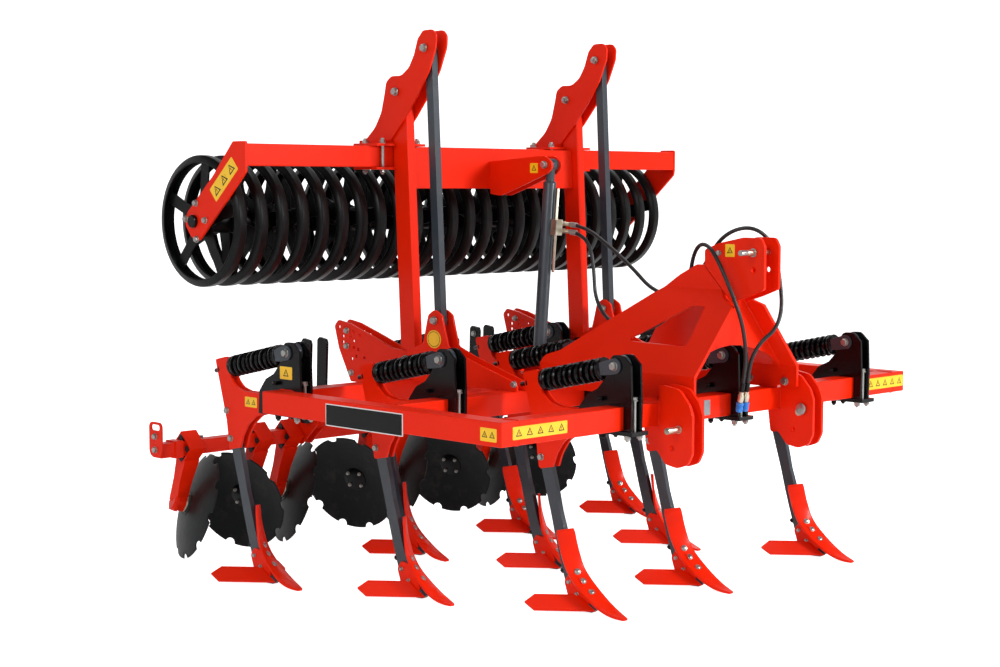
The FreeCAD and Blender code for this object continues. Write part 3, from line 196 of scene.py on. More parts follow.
# ------------------------------------------------------------ mesh builder
class Piece:
    """Collects many small forms into one joined mesh."""

    def __init__(self, name, body, mats, flat=35):
        self.name, self.body, self.mats, self.flat = name, body, mats if isinstance(mats, (list, tuple)) else [mats], flat
        self.v, self.f, self.mi = [], [], []

    def add(self, verts, faces, mi=0):
        o = len(self.v)
        self.v += [tuple(p) for p in verts]
        self.f += [tuple(i + o for i in q) for q in faces]
        self.mi += [mi] * len(faces)

    def lathe(self, org, axis, prof, seg=20, mi=0, phase=0.0, ref=None):
        """Profile of (radius, height) pairs in mm about axis from org."""
        a = Vector(axis).normalized()
        t = Vector(ref) if ref else (Vector((0, 0, 1)) if abs(a.z) < 0.9 else Vector((1, 0, 0)))
        e1 = (t - a * t.dot(a)).normalized()
        e2 = a.cross(e1)
        vs, fs = [], []
        rows = []
        for r, h in prof:
            r, h = r / 1000.0, h / 1000.0
            if r < 1e-7:
                rows.append([len(vs)])
                vs.append(org + a * h)
            else:
                row = []
                for k in range(seg):
                    g = 2 * math.pi * (k + phase) / seg
                    row.append(len(vs))
                    vs.append(org + a * h + (e1 * math.cos(g) + e2 * math.sin(g)) * r)
                rows.append(row)
        for q, w_ in zip(rows, rows[1:]):
            if len(q) == 1 and len(w_) == 1:
                continue
            if len(q) == 1:
                fs += [(q[0], w_[k], w_[(k + 1) % seg]) for k in range(seg)]
            elif len(w_) == 1:
                fs += [(q[k], w_[0], q[(k + 1) % seg]) for k in range(seg)]
            else:
                fs += [(q[k], w_[k], w_[(k + 1) % seg], q[(k + 1) % seg]) for k in range(seg)]
        self.add(vs, fs, mi)

    def hex(self, org, axis, af, h, mi=0, phase=0.0, h0=0.0):
        R = af / math.sqrt(3)
        self.lathe(org, axis, [(0, h0), (R * 0.95, h0), (R, h0 + 0.06 * af), (R, h0 + h - 0.08 * af), (R * 0.88, h0 + h), (0, h0 + h)], 6, mi, phase)

    def bolt(self, org, axis, af=24, h=12, washer=True, mi=0, phase=0.0, nut=False, depth=1.5):
        """Hex head or nut with its washer, standing on a face at org."""
        a = Vector(axis).normalized()
        o = org - a * (depth / 1000.0)
        z = depth
        if washer:
            wr = af * 0.66
            self.lathe(o, a, [(0, 0), (wr, 0), (wr, z + 2.2), (wr - 1, z + 3), (0, z + 3)], 22, mi)
            z += 3
        self.hex(o, a, af, h, mi, phase, h0=z - 0.2)
        top = z + h
        if nut:
            self.lathe(o, a, [(0, top - 1), (af * 0.31, top - 1), (af * 0.31, top + af * 0.2), (af * 0.25, top + af * 0.27), (0, top + af * 0.27)], 14, mi)
        else:
            self.lathe(o, a, [(0, top - 1.5), (af * 0.30, top - 1.5), (af * 0.30, top - 1), (0, top - 0.6)], 14, mi)

    def dome(self, org, axis, r, h, mi=0, depth=1.0):
        """Round head of a carriage or plough bolt."""
        a = Vector(axis).normalized()
        o = org - a * (depth / 1000.0)
        pr = [(0, 0), (r, 0), (r, depth)]
        for k in range(1, 6):
            g = math.pi / 2 * k / 5
            pr.append((r * math.cos(g) if k < 5 else 0, depth + h * math.sin(g)))
        self.lathe(o, a, pr, 20, mi)

    def tube(self, pts, r, seg=12, mi=0, closed=False, cap=True):
        """Round bar along points (m), radius in mm."""
        n = len(pts)
        pts = [Vector(p) for p in pts]
        r = r / 1000.0
        vs, fs = [], []
        prev = None
        for i, p in enumerate(pts):
            if closed:
                t = (pts[(i + 1) % n] - pts[i - 1]).normalized()
            else:
                t = (pts[min(i + 1, n - 1)] - pts[max(i - 1, 0)]).normalized()
            if prev is None:
                s = Vector((0, 0, 1)) if abs(t.z) < 0.9 else Vector((1, 0, 0))
                e1 = (s - t * s.dot(t)).normalized()
            else:
                e1 = (prev - t * prev.dot(t)).normalized()
            prev = e1
            e2 = t.cross(e1)
            for k in range(seg):
                g = 2 * math.pi * k / seg
                vs.append(p + (e1 * math.cos(g) + e2 * math.sin(g)) * r)
        for i in range(n if closed else n - 1):
            j = (i + 1) % n
            for k in range(seg):
                k2 = (k + 1) % seg
                fs.append((i * seg + k, i * seg + k2, j * seg + k2, j * seg + k))
        if cap and not closed:
            fs.append(tuple(reversed(range(seg))))
            fs.append(tuple((n - 1) * seg + k for k in range(seg)))
        self.add(vs, fs, mi)

    def slab(self, org, ux, uy, outline, t, mi=0, mi_side=None, inset=0.6):
        """Plate from an outline in mm on the plane (ux, uy) at org; it grows along ux x uy by t mm, with a small chamfer."""
        ux, uy = Vector(ux).normalized(), Vector(uy).normalized()
        nz = ux.cross(uy)
        n = len(outline)
        cxm = sum(p[0] for p in outline) / n
        cym = sum(p[1] for p in outline) / n
        vs = []
        for (lift, sh) in ((0, 0), (t - inset, 0), (t, inset)):
            for p in outline:
                dx, dy = p[0] - cxm, p[1] - cym
                L = math.hypot(dx, dy) or 1
                k = (L - sh) / L
                vs.append(org + ux * ((cxm + dx * k) / 1000.0) + uy * ((cym + dy * k) / 1000.0) + nz * (lift / 1000.0))
        fs = [tuple(reversed(range(n)))]
        for b_ in range(2):
            for k in range(n):
                k2 = (k + 1) % n
                fs.append((b_ * n + k, b_ * n + k2, (b_ + 1) * n + k2, (b_ + 1) * n + k))
        fs.append(tuple(2 * n + k for k in range(n)))
        self.add(vs, fs, mi)

    def make(self, replaces=None):
        me = bpy.data.meshes.new(self.name)
        me.from_pydata(self.v, [], self.f)
        me.update()
        for mt in self.mats:
            me.materials.append(mt)
        me.polygons.foreach_set("material_index", self.mi)
        me.shade_smooth()
        me.set_sharp_from_angle(angle=math.radians(self.flat))
        ob = bpy.data.objects.new(self.name, me)
        bpy.context.scene.collection.objects.link(ob)
        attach(ob, self.body)
        if replaces:
            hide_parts(*replaces)
        return ob


def round_rect(w, h, r, n=5, cx0=0.0, cy0=0.0):
    pts = []
    for sx, sy, a0 in ((1, 1, 0), (-1, 1, 90), (-1, -1, 180), (1, -1, 270)):
        for k in range(n + 1):
            g = math.radians(a0 + 90.0 * k / n)
            pts.append((cx0 + sx * (w / 2 - r) + r * math.cos(g), cy0 + sy * (h / 2 - r) + r * math.sin(g)))
    return pts


# ------------------------------------------------------------------- hoses
HOSE_UPPER = [(60, 1019.7, 1660.4), (60, 925, 1652), (50, 775, 1575), (36, 605, 1470), (12, 455, 1365), (4, 310, 1345), (4, 200, 1408), (0, 128, 1515), (-30, 10, 1640), (22, -107, 1679), (110,
              -163, 1598), (124, -185, 1450), (112, -212, 1310), (66, -210, 1218), (12, -176, 1172), (-2, -134, 1100), (14, -104, 1020), (24, -88, 938)]
HOSE_LOWER = [(60, 1022.5, 1624.5), (61, 944, 1616), (58, 878, 1545), (54, 856, 1430), (40, 835, 1310), (26, 750, 1215), (14, 620, 1172), (4, 470, 1178), (-10, 330, 1250), (-22, 242, 1350),
              (-28, 200, 1450), (-42, 170, 1545), (-74, 106, 1596), (-108, 26, 1584), (-122, -34, 1520), (-122, -80, 1440), (-112, -116, 1356), (-88, -138, 1265), (-56, -136, 1168), (-28, -120,
              1078), (-12, -98, 1005), (-10, -86, 938)]


def hose(name, pts, node):
    """Pressure hose along its route, with the dust cap on its coupler."""
    cu = bpy.data.curves.new(name, "CURVE")
    cu.dimensions = "3D"
    cu.bevel_depth = 0.009
    cu.bevel_resolution = 4
    cu.resolution_u = 10
    cu.use_fill_caps = True
    sp = cu.splines.new("NURBS")
    sp.points.add(len(pts) - 1)
    for i, q in enumerate(pts):
        w_ = W(*q)
        sp.points[i].co = (w_.x, w_.y, w_.z, 1.0)
    sp.order_u = 3
    sp.use_endpoint_u = True
    cu.materials.append(HOSE)
    ob = bpy.data.objects.new(name, cu)
    bpy.context.scene.collection.objects.link(ob)
    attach(ob, "frame")
    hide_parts(node)
    a = (W(*pts[-1]) - W(*pts[-2])).normalized()
    o = W(*pts[-1]) + a * 0.050
    c = Piece(name + "_cap", "frame", [BLUE], flat=40)
    c.lathe(o, a, [(12.5, 0), (17, 0), (18, 2), (18, 8), (15.5, 11), (15.5, 36), (13, 42), (0, 43)], 24, 0)
    c.lathe(o, a, [(15.4, 14), (16.6, 15), (16.6, 18), (15.4, 19)], 24, 0)
    c.lathe(o, a, [(15.4, 24), (16.6, 25), (16.6, 28), (15.4, 29)], 24, 0)
    cap = c.make()
    return ob


hose("pressure_hose_upper", HOSE_UPPER, "hose_upper")
hose("pressure_hose_lower", HOSE_LOWER, "hose_lower")

# ferrules at the valve block and at the couplers
p = Piece("hose_ferrules", "frame", [BOLT, BLACK])
for pts in (HOSE_UPPER, HOSE_LOWER):
    a = (W(*pts[1]) - W(*pts[0])).normalized()
    p.lathe(W(*pts[0]) + a * 0.004, a, [(9.4, 0), (12.5, 0), (12.5, 38), (11.6, 41), (9.4, 41)], 20, 0)
    for k in range(4):
        p.lathe(W(*pts[0]) + a * 0.004, a, [(12.3, 6 + 8 * k), (13.2, 7 + 8 * k), (13.2, 10 + 8 * k), (12.3, 11 + 8 * k)], 20, 0)
    b_ = (W(*pts[-2]) - W(*pts[-1])).normalized()
    p.lathe(W(*pts[-1]) + b_ * 0.002, b_, [(9.3, 0), (12.0, 0), (12.0, 36), (11.0, 40), (9.3, 40)], 20, 1)
p.make()

# ------------------------------------------------------------ tines' parts
TINES = [(-675, 0, 1), (60, 0, 1), (1031, 0, 1), (-1015, 714, -1), (-131, 714, -1), (722, 714, -1), (-1303, 1418, -1), (-376, 1418, -1), (424, 1418, 1), (1238, 1418, 1)]
TILT = math.radians(12.15)
AXD = D(0, math.cos(TILT), -math.sin(TILT))
p = Piece("spring_units_fine", "frame", [BLACK, SLATE], flat=40)
for x, ye, h in TINES:
    o = W(x, ye + 47, 1092)
    p.lathe(W(x - 23.5, ye + 47, 1092), (1, 0, 0), [(0, 0), (40, 0), (44, 4), (44, 43), (40, 47), (0, 47)], 36, 1)
    p.lathe(o, AXD, [(20, 30), (21, 60), (24, 88)], 20, 1)
    p.lathe(o, AXD, [(0, 86), (47, 86), (50, 89), (50, 97), (47, 100), (0, 100)], 32, 0)
    # painted shade: a black sleeve just inside the coil fills the spring, so the gaps between its turns show dark
    p.lathe(o, AXD, [(35.5, 96), (35.5, 440)], 24, 0)
    p.lathe(o, AXD, [(0, 437), (46, 437), (49, 440), (49, 448), (45, 451), (0, 451)], 32, 0)
    p.lathe(o, AXD, [(11, 440), (11, 596), (9, 600), (0, 600)], 16, 0)
    p.hex(o, AXD, 34, 16, 0, 0.3, h0=451)
    p.hex(o, AXD, 34, 14, 0, 0.1, h0=548)
    p.lathe(o, AXD, [(0, 541), (27, 541), (27, 548), (0, 548)], 20, 0)
    ex = Vector((1, 0, 0))
    ez = ex.cross(AXD).normalized()
    pts = []
    n_t, z0, z1 = 11.5, 106.0, 430.0
    steps = int(n_t * 22)
    for k in range(steps + 1):
        t = k / steps * n_t
        # the last coil at each end lies flat against its seat
        e = min(max(t - 0.8, 0.0), n_t - 1.6) / (n_t - 1.6)
        z = z0 + (z1 - z0) * e + (0 if 0 < e < 1 else 0)
        g = 2 * math.pi * t
        pts.append(o + AXD * (z / 1000.0) + (ex * math.cos(g) + ez * math.sin(g)) * 0.0428)
    p.tube(pts, 8.6, 8, 0)
p.make(replaces=["spring_units"])

# straps of each spring head, outside the cheeks
p = Piece("spring_head_straps", "frame", [SLATE])
for x, ye, h in TINES:
    for s in (-1, 1):
        out = []
        for k in range(13):
            g = math.radians(90 + 15 * k)
            out.append((34 * math.cos(g), 34 * math.sin(g)))
        out += [(60, -30), (84, -26), (84, 26), (60, 30)]
        uy = Vector((s, 0, 0)).cross(AXD)
        p.slab(W(x + s * 37.2, ye + 47, 1092), AXD, uy, out, 8)
p.make()

p = Piece("tine_bolts", "frame", [BOLT, BLACK])
for x, ye, h in TINES:
    for s in (-1, 1):
        p.bolt(W(x + s * 45, ye + 47, 1092), (s, 0, 0), 30, 14, mi=0, phase=0.2)
        for (y, z) in ((516, 787), (487, 657)):
            p.bolt(W(x + s * 24.25, ye + y, z), (s, 0, 0), 24, 11, mi=0, phase=0.35, nut=(s > 0))
        for (y, z) in ((319, 123), (272, 77)):
            p.bolt(W(x + s * 20.5, ye + y, z), (s, 0, 0), 15, 7, mi=0, phase=0.15)
        p.bolt(W(x + s * 40, ye - 26, 802), (0, 0, -1), 24, 15, mi=0, phase=0.1, nut=True)
        p.bolt(W(x + s * 40, ye + 109, 802), (0, 0, -1), 24, 15, mi=1, phase=0.4, nut=True)
        # heads on the clamp's ledge above the beam
        p.bolt(W(x + s * 52, ye + 118, 944), (0, 0, 1), 22, 12, mi=1, phase=0.3)
    # bolt seen between the cheeks, in front of the beam
    p.lathe(W(x + 9, ye - 22, 804), (0, 0, 1), [(0, 0), (8.5, 0), (8.5, 146), (0, 146)], 14, 0)
    p.bolt(W(x + 9, ye - 22, 948), (0, 0, 1), 24, 13, mi=0, phase=0.3)
p.make()

STATION = [(344, 354, -20, 45, 74), (342, 343, -20, 44, 80), (333, 298, -16, 42, 82), (321, 254, -13, 38, 82), (305, 209, -10, 32, 82), (280, 164, -7, 26, 82), (244, 124, -4, 20, 84),
           (203, 90, -2, 14, 86), (160, 60, -1, 9, 86), (116, 35, 0, 5, 82), (62, 15, 0, 2, 64), (8, 5, 0, 0, 26)]
p = Piece("share_bolts", "frame", [BOLT, BLACK])
for x, ye, hand in TINES:
    for zq in (171, 133, 91):
        i = max(k for k in range(len(STATION) - 1) if STATION[k][1] >= zq)
        p0, p1 = STATION[i], STATION[i + 1]
        f = (p0[1] - zq) / (p0[1] - p1[1])
        sy, sz, dx, tw, w_ = [p0[k] + (p1[k] - p0[k]) * f for k in range(5)]
        t = Vector((0, p0[0] - p1[0], p0[1] - p1[1])).normalized()
        mm = Vector((0, -t.z, t.y))
        a = math.radians(tw)
        nd = Vector((-math.sin(a) * hand, mm.y * math.cos(a), mm.z * math.cos(a)))
        c = W(x + hand * dx, ye + sy, sz) + nd * 0.0065
        p.dome(c, nd, 12, 5, 0)
        p.lathe(c, nd, [(12.2, -0.6), (14.5, -0.6), (14.5, 0.5), (12.2, 0.9)], 20, 0)
    p.bolt(W(x, ye + 363, 165), (0, 1, -0.12), 22, 14, mi=1, phase=0.25, nut=True)
p.make()

# --------------------------------------------------- headstock and hitch
p = Piece("headstock_bolts", "frame", [BOLT, BLACK])
for s in (-1, 1):
    p.bolt(W(s * 60, 12, 1554), (s, 0, 0), 20, 10, phase=0.2)
    p.bolt(W(s * 45, 12, 1554), (-s, 0, 0), 24, 13, phase=0.3, nut=True)
    p.bolt(W(s * 365.5, -47, 955), (-s, 0, 0), 30, 13, phase=0.2)
    p.bolt(W(s * 365.5, 150, 958), (-s, 0, 0), 26, 12, phase=0.4)
    for (y, z) in ((700, 958), (775, 960)):
        p.bolt(W(s * 380.5, y, z), (s, 0, 0), 26, 12, phase=0.1)
    # retaining ring and grip of the lower hitch pin
    p.lathe(W(s * 384, -127, 832), (-s, 0, 0), [(0, -2), (26, -2), (26, 5), (19, 8), (0, 8)], 28, 0)
p.make()

p = Piece("top_pin_handle", "frame", [BOLT])
p.lathe(W(-110, -178, 1561), (-1, 0, 0), [(12.7, -2), (12.7, 44), (11.2, 47), (0, 47)], 24, 0)
p.lathe(W(-62, -178, 1561), (-1, 0, 0), [(12.7, -1), (19, -1), (19, 3), (12.7, 3)], 24, 0)
p.make()

# --------------------------------------------------- lift arms' fastenings
LEAN = math.radians(3.056)
TOP_C = (1440 + 1273.817 * math.sin(LEAN), 1019 + 1273.817 * math.cos(LEAN))
TOP_D = (1239 + 1273.817 * math.sin(LEAN), 1216 + 1273.817 * math.cos(LEAN))
p = Piece("frame_pin_bolts", "frame", [BOLT, BLACK])
for s in (-1, 1):
    for (y, z) in ((1440, 1019), (1239, 1216)):
        for q in (-1, 1):
            p.bolt(W(s * 597 + q * 44, y, z), (q, 0, 0), 30, 14, phase=0.2, nut=(q * s < 0))
    for (y, z) in ((1873, 1130), (1874, 1054), (1840, 924), (717, 955)):
        for q in (-1, 1):
            p.bolt(W(s * 597 + q * 39, y, z), (q, 0, 0), 24, 12, phase=0.3, nut=(q * s < 0))
for q in (-1, 1):
    p.bolt(W(q * 46, 1168, 985), (q, 0, 0), 26, 12, phase=0.2)
p.make()
p = Piece("roller_pin_bolts", "roller_frame", [BOLT, BLACK])
for s in (-1, 1):
    for (y, z) in (TOP_C, TOP_D):
        for q in (-1, 1):
            p.bolt(W(s * 597 + q * 46, y, z), (q, 0, 0), 30, 14, phase=0.2, nut=(q * s < 0))
p.make()
p = Piece("fork_pin_bolts", "lift_arms", [BOLT, BLACK])
for q in (-1, 1):
    p.bolt(W(q * 50, 1093, 1949), (q, 0, 0), 28, 12, phase=0.1)
p.make()

# ------------------------------------------------------------ roller frame
p = Piece("roller_frame_bolts", "roller_frame", [BOLT, BLACK, YELLOW, RED])
for s in (-1, 1):
    for (y, z) in ((1922, 1764), (2000, 1690), (1852, 1686), (1917, 1598)):
        p.bolt(W(s * 1502.2, y, z), (s, 0, 0), 24, 12, phase=0.2)
    p.lathe(W(s * 1502.2, 1939, 1680), (s, 0, 0), [(0, -1), (30, -1), (30, 14), (26, 18), (0, 18)], 28, 1)
    for x in (475, 697):
        for y in (1537, 1663):
            p.lathe(W(s * x, y, 2072), (0, 0, -1), [(0, 0), (9, 0), (9, 158), (7, 161), (0, 161)], 14, 0)
            p.bolt(W(s * x, y, 2047), (0, 0, 1), 24, 13, phase=0.2, nut=True)
            p.bolt(W(s * x, y, 1922), (0, 0, -1), 24, 13, phase=0.2, nut=True)
    for x0, x1 in ((440, 557), (637, 752)):
        xm_, w_ = (x0 + x1) / 2, (x1 - x0)
        p.slab(W(s * xm_, 1537, 2034.5), (1, 0, 0), (0, 1, 0), [(-w_ / 2, -22), (w_ / 2, -22), (w_ / 2, 148), (-w_ / 2, 148)], 12, 3)
        p.slab(W(s * xm_, 1537, 1933.5), (0, 1, 0), (1, 0, 0), [(-22, -w_ / 2), (148, -w_ / 2), (148, w_ / 2), (-22, w_ / 2)], 11, 3)
p.make()

# the roller: a tube with spoked rings of folded section, open inwards
p = Piece("roller_rings", "roller", [DRUM, BLACK], flat=50)
RC = W(0, 1939, 1680)
p.lathe(W(-1462, 1939, 1680), (1, 0, 0), [(0, 0), (57, 0), (57, 2924), (0, 2924)], 40, 0)
for s in (-1, 1):
    p.lathe(W(s * 1461, 1939, 1680), (s, 0, 0), [(0, -1), (72, -1), (72, 9), (68, 12), (25, 12), (25, 50), (0, 50)], 40, 0)
RING = [(305, -17), (305, 17), (301, 23), (274, 31), (271, 29), (271, 24), (295, 15), (295, -15), (271, -24), (271, -29), (274, -31), (301, -23), (305, -17)]
for i in range(25):
    x = -1449 + 2898 * i / 24.0
    p.lathe(W(x, 1939, 1680), (1, 0, 0), RING, 84, 0, phase=0.3 * i)
    for k in range(5):
        g = 2 * math.pi * (k + 0.37 * (i % 4)) / 5 + 0.4
        e1 = Vector((0, math.cos(g), math.sin(g)))
        e2 = Vector((1, 0, 0)).cross(e1)
        o = W(x - 4, 1939, 1680)
        p.slab(o, e1, e2, [(54, -38), (150, -27), (296, -31), (296, 31), (150, 27), (54, 38)], 8, 0, inset=1)
p.make(replaces=["roller_drum"])

# ----------------------------------------------------------- disc section
p = Piece("gang_bolts", "frame", [BOLT, BLACK])
for s in (-1, 1):
    xm_ = s * 597
    for q in (-1, 1):
        p.bolt(W(xm_ + q * 59, 2172, 1030), (q, 0, 0), 24, 12, phase=0.3)
        p.bolt(W(xm_ + q * 59, 2184, 672), (q, 0, 0), 24, 12, phase=0.1)
    p.bolt(W(s * 1218, 2296, 607.2), (0, 0, 1), 22, 12, phase=0.2)
    p.bolt(W(s * 1488, 2290, 643), (s, 0, 0), 24, 12, phase=0.2)
    p.bolt(W(s * 1488, 2290, 578), (s, 0, 0), 24, 12, phase=0.4)
ARMS = [(-1204, 1), (-590, 1), (184, 1), (886, 1), (-960, -1), (-210, -1), (496, -1), (1204, -1)]
yw, tl = math.radians(20.6), math.radians(17.9)
for x, s in sorted(ARMS):
    n = Vector((s * math.cos(yw) * math.cos(tl), -math.sin(yw) * math.cos(tl), -math.sin(tl)))
    c = W(x, 2347, 262)
    e1 = n.cross(Vector((0, 0, 1))).normalized()
    e2 = n.cross(e1)
    for k in range(4):
        g = math.radians(45 + 90 * k)
        p.bolt(c + n * -0.0725 + (e1 * math.cos(g) + e2 * math.sin(g)) * 0.031, -n, 14, 7, washer=False, mi=0)
p.make()
for i, (x, s) in enumerate(sorted(ARMS)):
    n = Vector((s * math.cos(yw) * math.cos(tl), -math.sin(yw) * math.cos(tl), -math.sin(tl)))
    c = W(x, 2347, 262)
    e1 = n.cross(Vector((0, 0, 1))).normalized()
    e2 = n.cross(e1)
    p = Piece("disc_centre_%d" % (i + 1), "disc_%d" % (i + 1), [BLACK, BOLT])
    d0 = -51.0 / 1000.0
    p.lathe(c + n * d0, n, [(0, -1), (62, -1), (62, 3), (59, 4), (0, 4)], 32, 0)
    for k in range(4):
        g = math.radians(45 + 90 * k)
        p.bolt(c + n * (d0 + 0.004) + (e1 * math.cos(g) + e2 * math.sin(g)) * 0.048, n, 15, 8, washer=True, mi=1)
    p.make()

# ------------------------------------------------------- films and plates
p = Piece("films", "frame", [YELLOW, BLACK], flat=20)


def film(pc, cy_, cz_, w_, h_, x=None, y=None, rot=0.0, marks=2, oval=False):
    """A plain yellow film: an oval one with a dark ring, the others with generic triangle marks."""
    if x is not None:
        ux, uy, o = Vector((0, -1, 0)), Vector((0, 0, 1)), W(x - 0.1, cy_, cz_)
        if x > 0:
            ux, o = Vector((0, 1, 0)), W(x + 0.1, cy_, cz_)
    else:
        ux, uy, o = Vector((1, 0, 0)), Vector((0, 0, 1)), W(cy_, y - 0.1, cz_)
    nz = ux.cross(uy)
    cr, sr = math.cos(rot), math.sin(rot)
    ux, uy = ux * cr + uy * sr, uy * cr - ux * sr
    base = round_rect(w_, h_, 4, 3)
    if oval:
        base = [(w_ / 2 * math.cos(2 * math.pi * k / 40), h_ / 2 * math.sin(2 * math.pi * k / 40)) for k in range(40)]
    pc.slab(o, ux, uy, base, 0.7, 0, inset=0.2)
    if oval:
        ring = [(q[0] * 0.86, q[1] * 0.86) for q in base]
        pc.slab(o + nz * 0.0007, ux, uy, ring, 0.25, 1, inset=0.05)
        pc.slab(o + nz * 0.00095, ux, uy, [(q[0] * 0.80, q[1] * 0.80) for q in base], 0.25, 0, inset=0.05)
        return
    n = marks
    cell = (w_ - 8) / n
    s = min(cell * 0.36, h_ * 0.34)
    for k in range(n):
        cx_ = -w_ / 2 + 4 + cell * (k + 0.5)
        tri = [(cx_ - s, -s * 0.75), (cx_ + s, -s * 0.75), (cx_, s)]
        pc.slab(o + nz * 0.0007, ux, uy, tri, 0.25, 1, inset=0.05)
        tri = [(cx_ - s * 0.62, -s * 0.53), (cx_ + s * 0.62, -s * 0.53), (cx_, s * 0.62)]
        pc.slab(o + nz * 0.00095, ux, uy, tri, 0.25, 0, inset=0.05)
        pc.slab(o + nz * 0.0012, ux, uy, [(cx_ - s * 0.09, -s * 0.32), (cx_ + s * 0.09, -s * 0.32), (cx_ + s * 0.09, s * 0.22), (cx_ - s * 0.09, s * 0.22)], 0.2, 1, inset=0.05)


film(p, 1750, 842, 90, 47, x=-1327.3, marks=2)
film(p, 1473, 1000, 88, 58, x=-1340.1, marks=1)
film(p, 1245, 1127, 96, 85, x=-636, oval=True)
film(p, -49, 1567, 52, 56, x=-60, marks=1)
film(p, 72, 868, 92, 54, x=-1442, marks=2)
film(p, -1219, 873, 318, 52, y=0, marks=5)
film(p, 1272, 877, 326, 56, y=0, marks=5)
p.make()
p = Piece("arm_films", "lift_arms", [YELLOW, BLACK], flat=20)
film(p, 1169, 1933, 52, 48, x=-40, marks=1)
p.make()
p = Piece("roller_frame_films", "roller_frame", [YELLOW, BLACK], flat=20)
film(p, 1708, 1873, 222, 74, x=-1502.2, rot=0.735, marks=3)
p.make()
p = Piece("name_board", "frame", [BLACK, WHITE], flat=20)
o = W(-1442, 822, 858)
p.slab(o, (0, -1, 0), (0, 0, 1), round_rect(496, 96, 3, 2), 3.0, 1, inset=0.4)
p.slab(o + Vector((-0.003, 0, 0)), (0, -1, 0), (0, 0, 1), round_rect(488, 88, 2, 2), 0.5, 0, inset=0.1)
p.make()
p = Piece("data_plate", "frame", [PLATE, BOLT], flat=20)
p.slab(W(-147.5, -0.1, 872), (1, 0, 0), (0, 0, 1), round_rect(43, 68, 3, 3), 1.2, 0, inset=0.3)
for (dx_, dz_) in ((-17, 29), (17, 29), (-17, -29), (17, -29)):
    p.dome(W(-147.5 + dx_, -1.2, 872 + dz_), (0, -1, 0), 2.4, 1.2, 1)
p.make()

# ------------------------------------------------------------- weld beads
p = Piece("weld_beads", "frame", [RED], flat=60)


def bead(a, b, r=4.5):
    """Rippled bead between two points in mm."""
    A, B = W(*a), W(*b)
    L_ = (B - A).length
    n = max(4, int(L_ / 0.005))
    pts = [A + (B - A) * (k / n) for k in range(n + 1)]
    t = (B - A).normalized()
    s_ = Vector((0, 0, 1)) if abs(t.z) < 0.9 else Vector((1, 0, 0))
    e1 = (s_ - t * s_.dot(t)).normalized()
    e2 = t.cross(e1)
    vs, fs = [], []
    seg = 6
    for k, q in enumerate(pts):
        rr = (r * (0.86 if k % 2 else 1.0) if 0 < k < n else 0.6) / 1000.0
        for j in range(seg):
            g = 2 * math.pi * j / seg
            vs.append(q + (e1 * math.cos(g) + e2 * math.sin(g)) * rr)
    for k in range(n):
        for j in range(seg):
            j2 = (j + 1) % seg
            fs.append((k * seg + j, k * seg + j2, (k + 1) * seg + j2, (k + 1) * seg + j))
    fs.append(tuple(reversed(range(seg))))
    fs.append(tuple(n * seg + j for j in range(seg)))
    p.add(vs, fs, 0)


for s in (-1, 1):
    for y0 in (0, 714, 1418):
        for z0 in (822, 922):
            bead((s * 1342, y0 + 2, z0), (s * 1342, y0 + 99, z0))
    bead((s * 380.5, 6, 924), (s * 380.5, 98, 924))
    bead((s * 365.5, 6, 924), (s * 365.5, 98, 924))
    bead((s * 380.5, 716, 924), (s * 380.5, 756, 924))
    for xx in (396, 411, 465, 480):
        bead((s * xx, -1, 826), (s * xx, -1, 918))
    for xx in (558, 568, 626, 636):
        for (y0, y1) in ((716, 812), (1524, 1516)):
            bead((s * xx, y0, 923), (s * xx, y1, 923))
    # web to plates
    bead((s * 363, -21, 1030), (s * 58, -21, 1371))
for x in (-50, 50):
    bead((x, 816, 922), (x, 816, 824))
p.make()


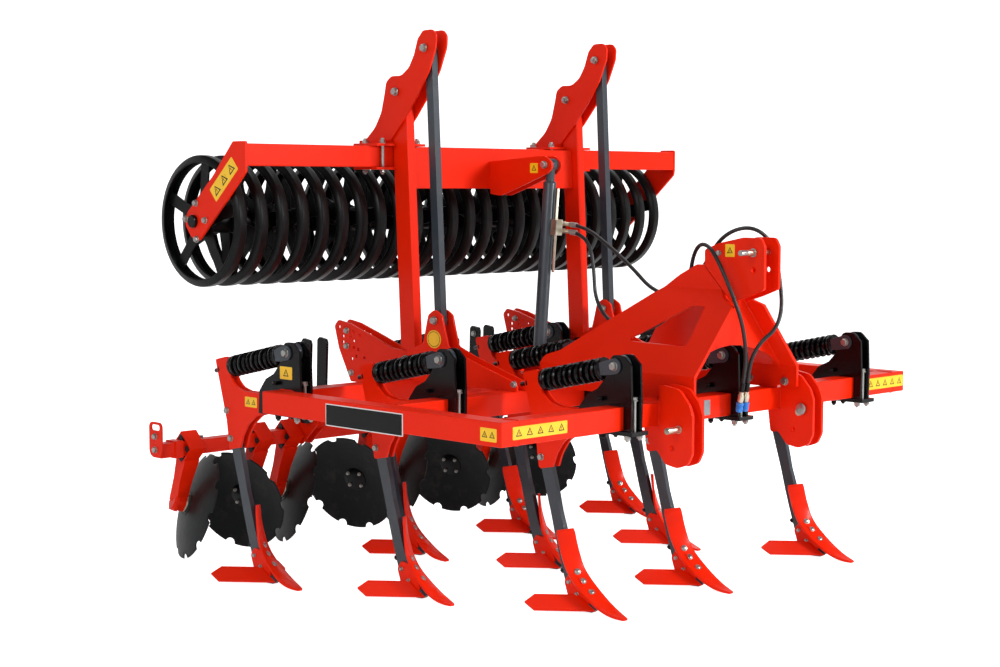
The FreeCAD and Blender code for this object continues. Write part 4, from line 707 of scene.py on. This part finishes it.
# ------------------------------------------------------------ stage, light
def bowl():
    prof = [(0.0, -0.0005), (17.0, -0.0005)]
    for k in range(1, 13):
        g = math.pi / 2 * k / 12
        prof.append((17.0 + 5.0 * math.sin(g), 5.0 - 5.0 * math.cos(g)))
    prof.append((22.0, 16.0))
    seg = 72
    vs, fs = [(0, 0, -0.0005)], []
    for r, h in prof[1:]:
        for k in range(seg):
            vs.append((r * math.cos(2 * math.pi * k / seg), r * math.sin(2 * math.pi * k / seg), h))
    for k in range(seg):
        fs.append((0, 1 + k, 1 + (k + 1) % seg))
    for j in range(len(prof) - 2):
        for k in range(seg):
            a, b_ = 1 + j * seg + k, 1 + j * seg + (k + 1) % seg
            fs.append((a, a + seg, b_ + seg, b_))
    me = bpy.data.meshes.new("floor")
    me.from_pydata(vs, [], fs)
    me.shade_smooth()
    ob = bpy.data.objects.new("floor", me)
    bpy.context.scene.collection.objects.link(ob)
    mt = bpy.data.materials.new("floor")
    mt.use_nodes = True
    p = mt.node_tree.nodes["Principled BSDF"]
    p.inputs["Base Color"].default_value = (0.9, 0.9, 0.9, 1)
    p.inputs["Emission Color"].default_value = (1, 1, 1, 1)
    lp = mt.node_tree.nodes.new("ShaderNodeLightPath")
    mr = mt.node_tree.nodes.new("ShaderNodeMapRange")
    mr.inputs["To Min"].default_value = 0.20
    mr.inputs["To Max"].default_value = 0.95
    mt.node_tree.links.new(lp.outputs["Is Camera Ray"], mr.inputs["Value"])
    mt.node_tree.links.new(mr.outputs[0], p.inputs["Emission Strength"])
    p.inputs["Roughness"].default_value = 0.9
    p.inputs["Specular IOR Level"].default_value = 0.1
    me.materials.append(mt)
    return ob


bowl()
world = bpy.data.worlds.new("studio")
bpy.context.scene.world = world
world.use_nodes = True
bg = world.node_tree.nodes["Background"]
bg.inputs[0].default_value = (1.0, 1.0, 1.0, 1)
bg.inputs[1].default_value = 0.13
bpy.context.scene.view_settings.view_transform = "Standard"


def area(name, loc, target, size, power, sy=None):
    ld = bpy.data.lights.new(name, "AREA")
    ld.shape = "RECTANGLE"
    ld.size, ld.size_y = size, sy or size
    ld.energy = power
    ob = bpy.data.objects.new(name, ld)
    bpy.context.scene.collection.objects.link(ob)
    ob.location = loc
    ob.rotation_euler = (Vector(target) - Vector(loc)).to_track_quat("-Z", "Y").to_euler()
    return ob


area("key", (-9.0, -3.0, 5.5), (0, 0, 0.9), 2.6, 230)
area("front", (3.2, -9.2, 4.4), (0, 0, 0.9), 2.0, 760)
area("top", (1.5, 1.5, 9.0), (0, 0, 0.8), 6.0, 260)
area("back", (7.5, 5.5, 4.5), (0, 0, 0.9), 4.0, 70)
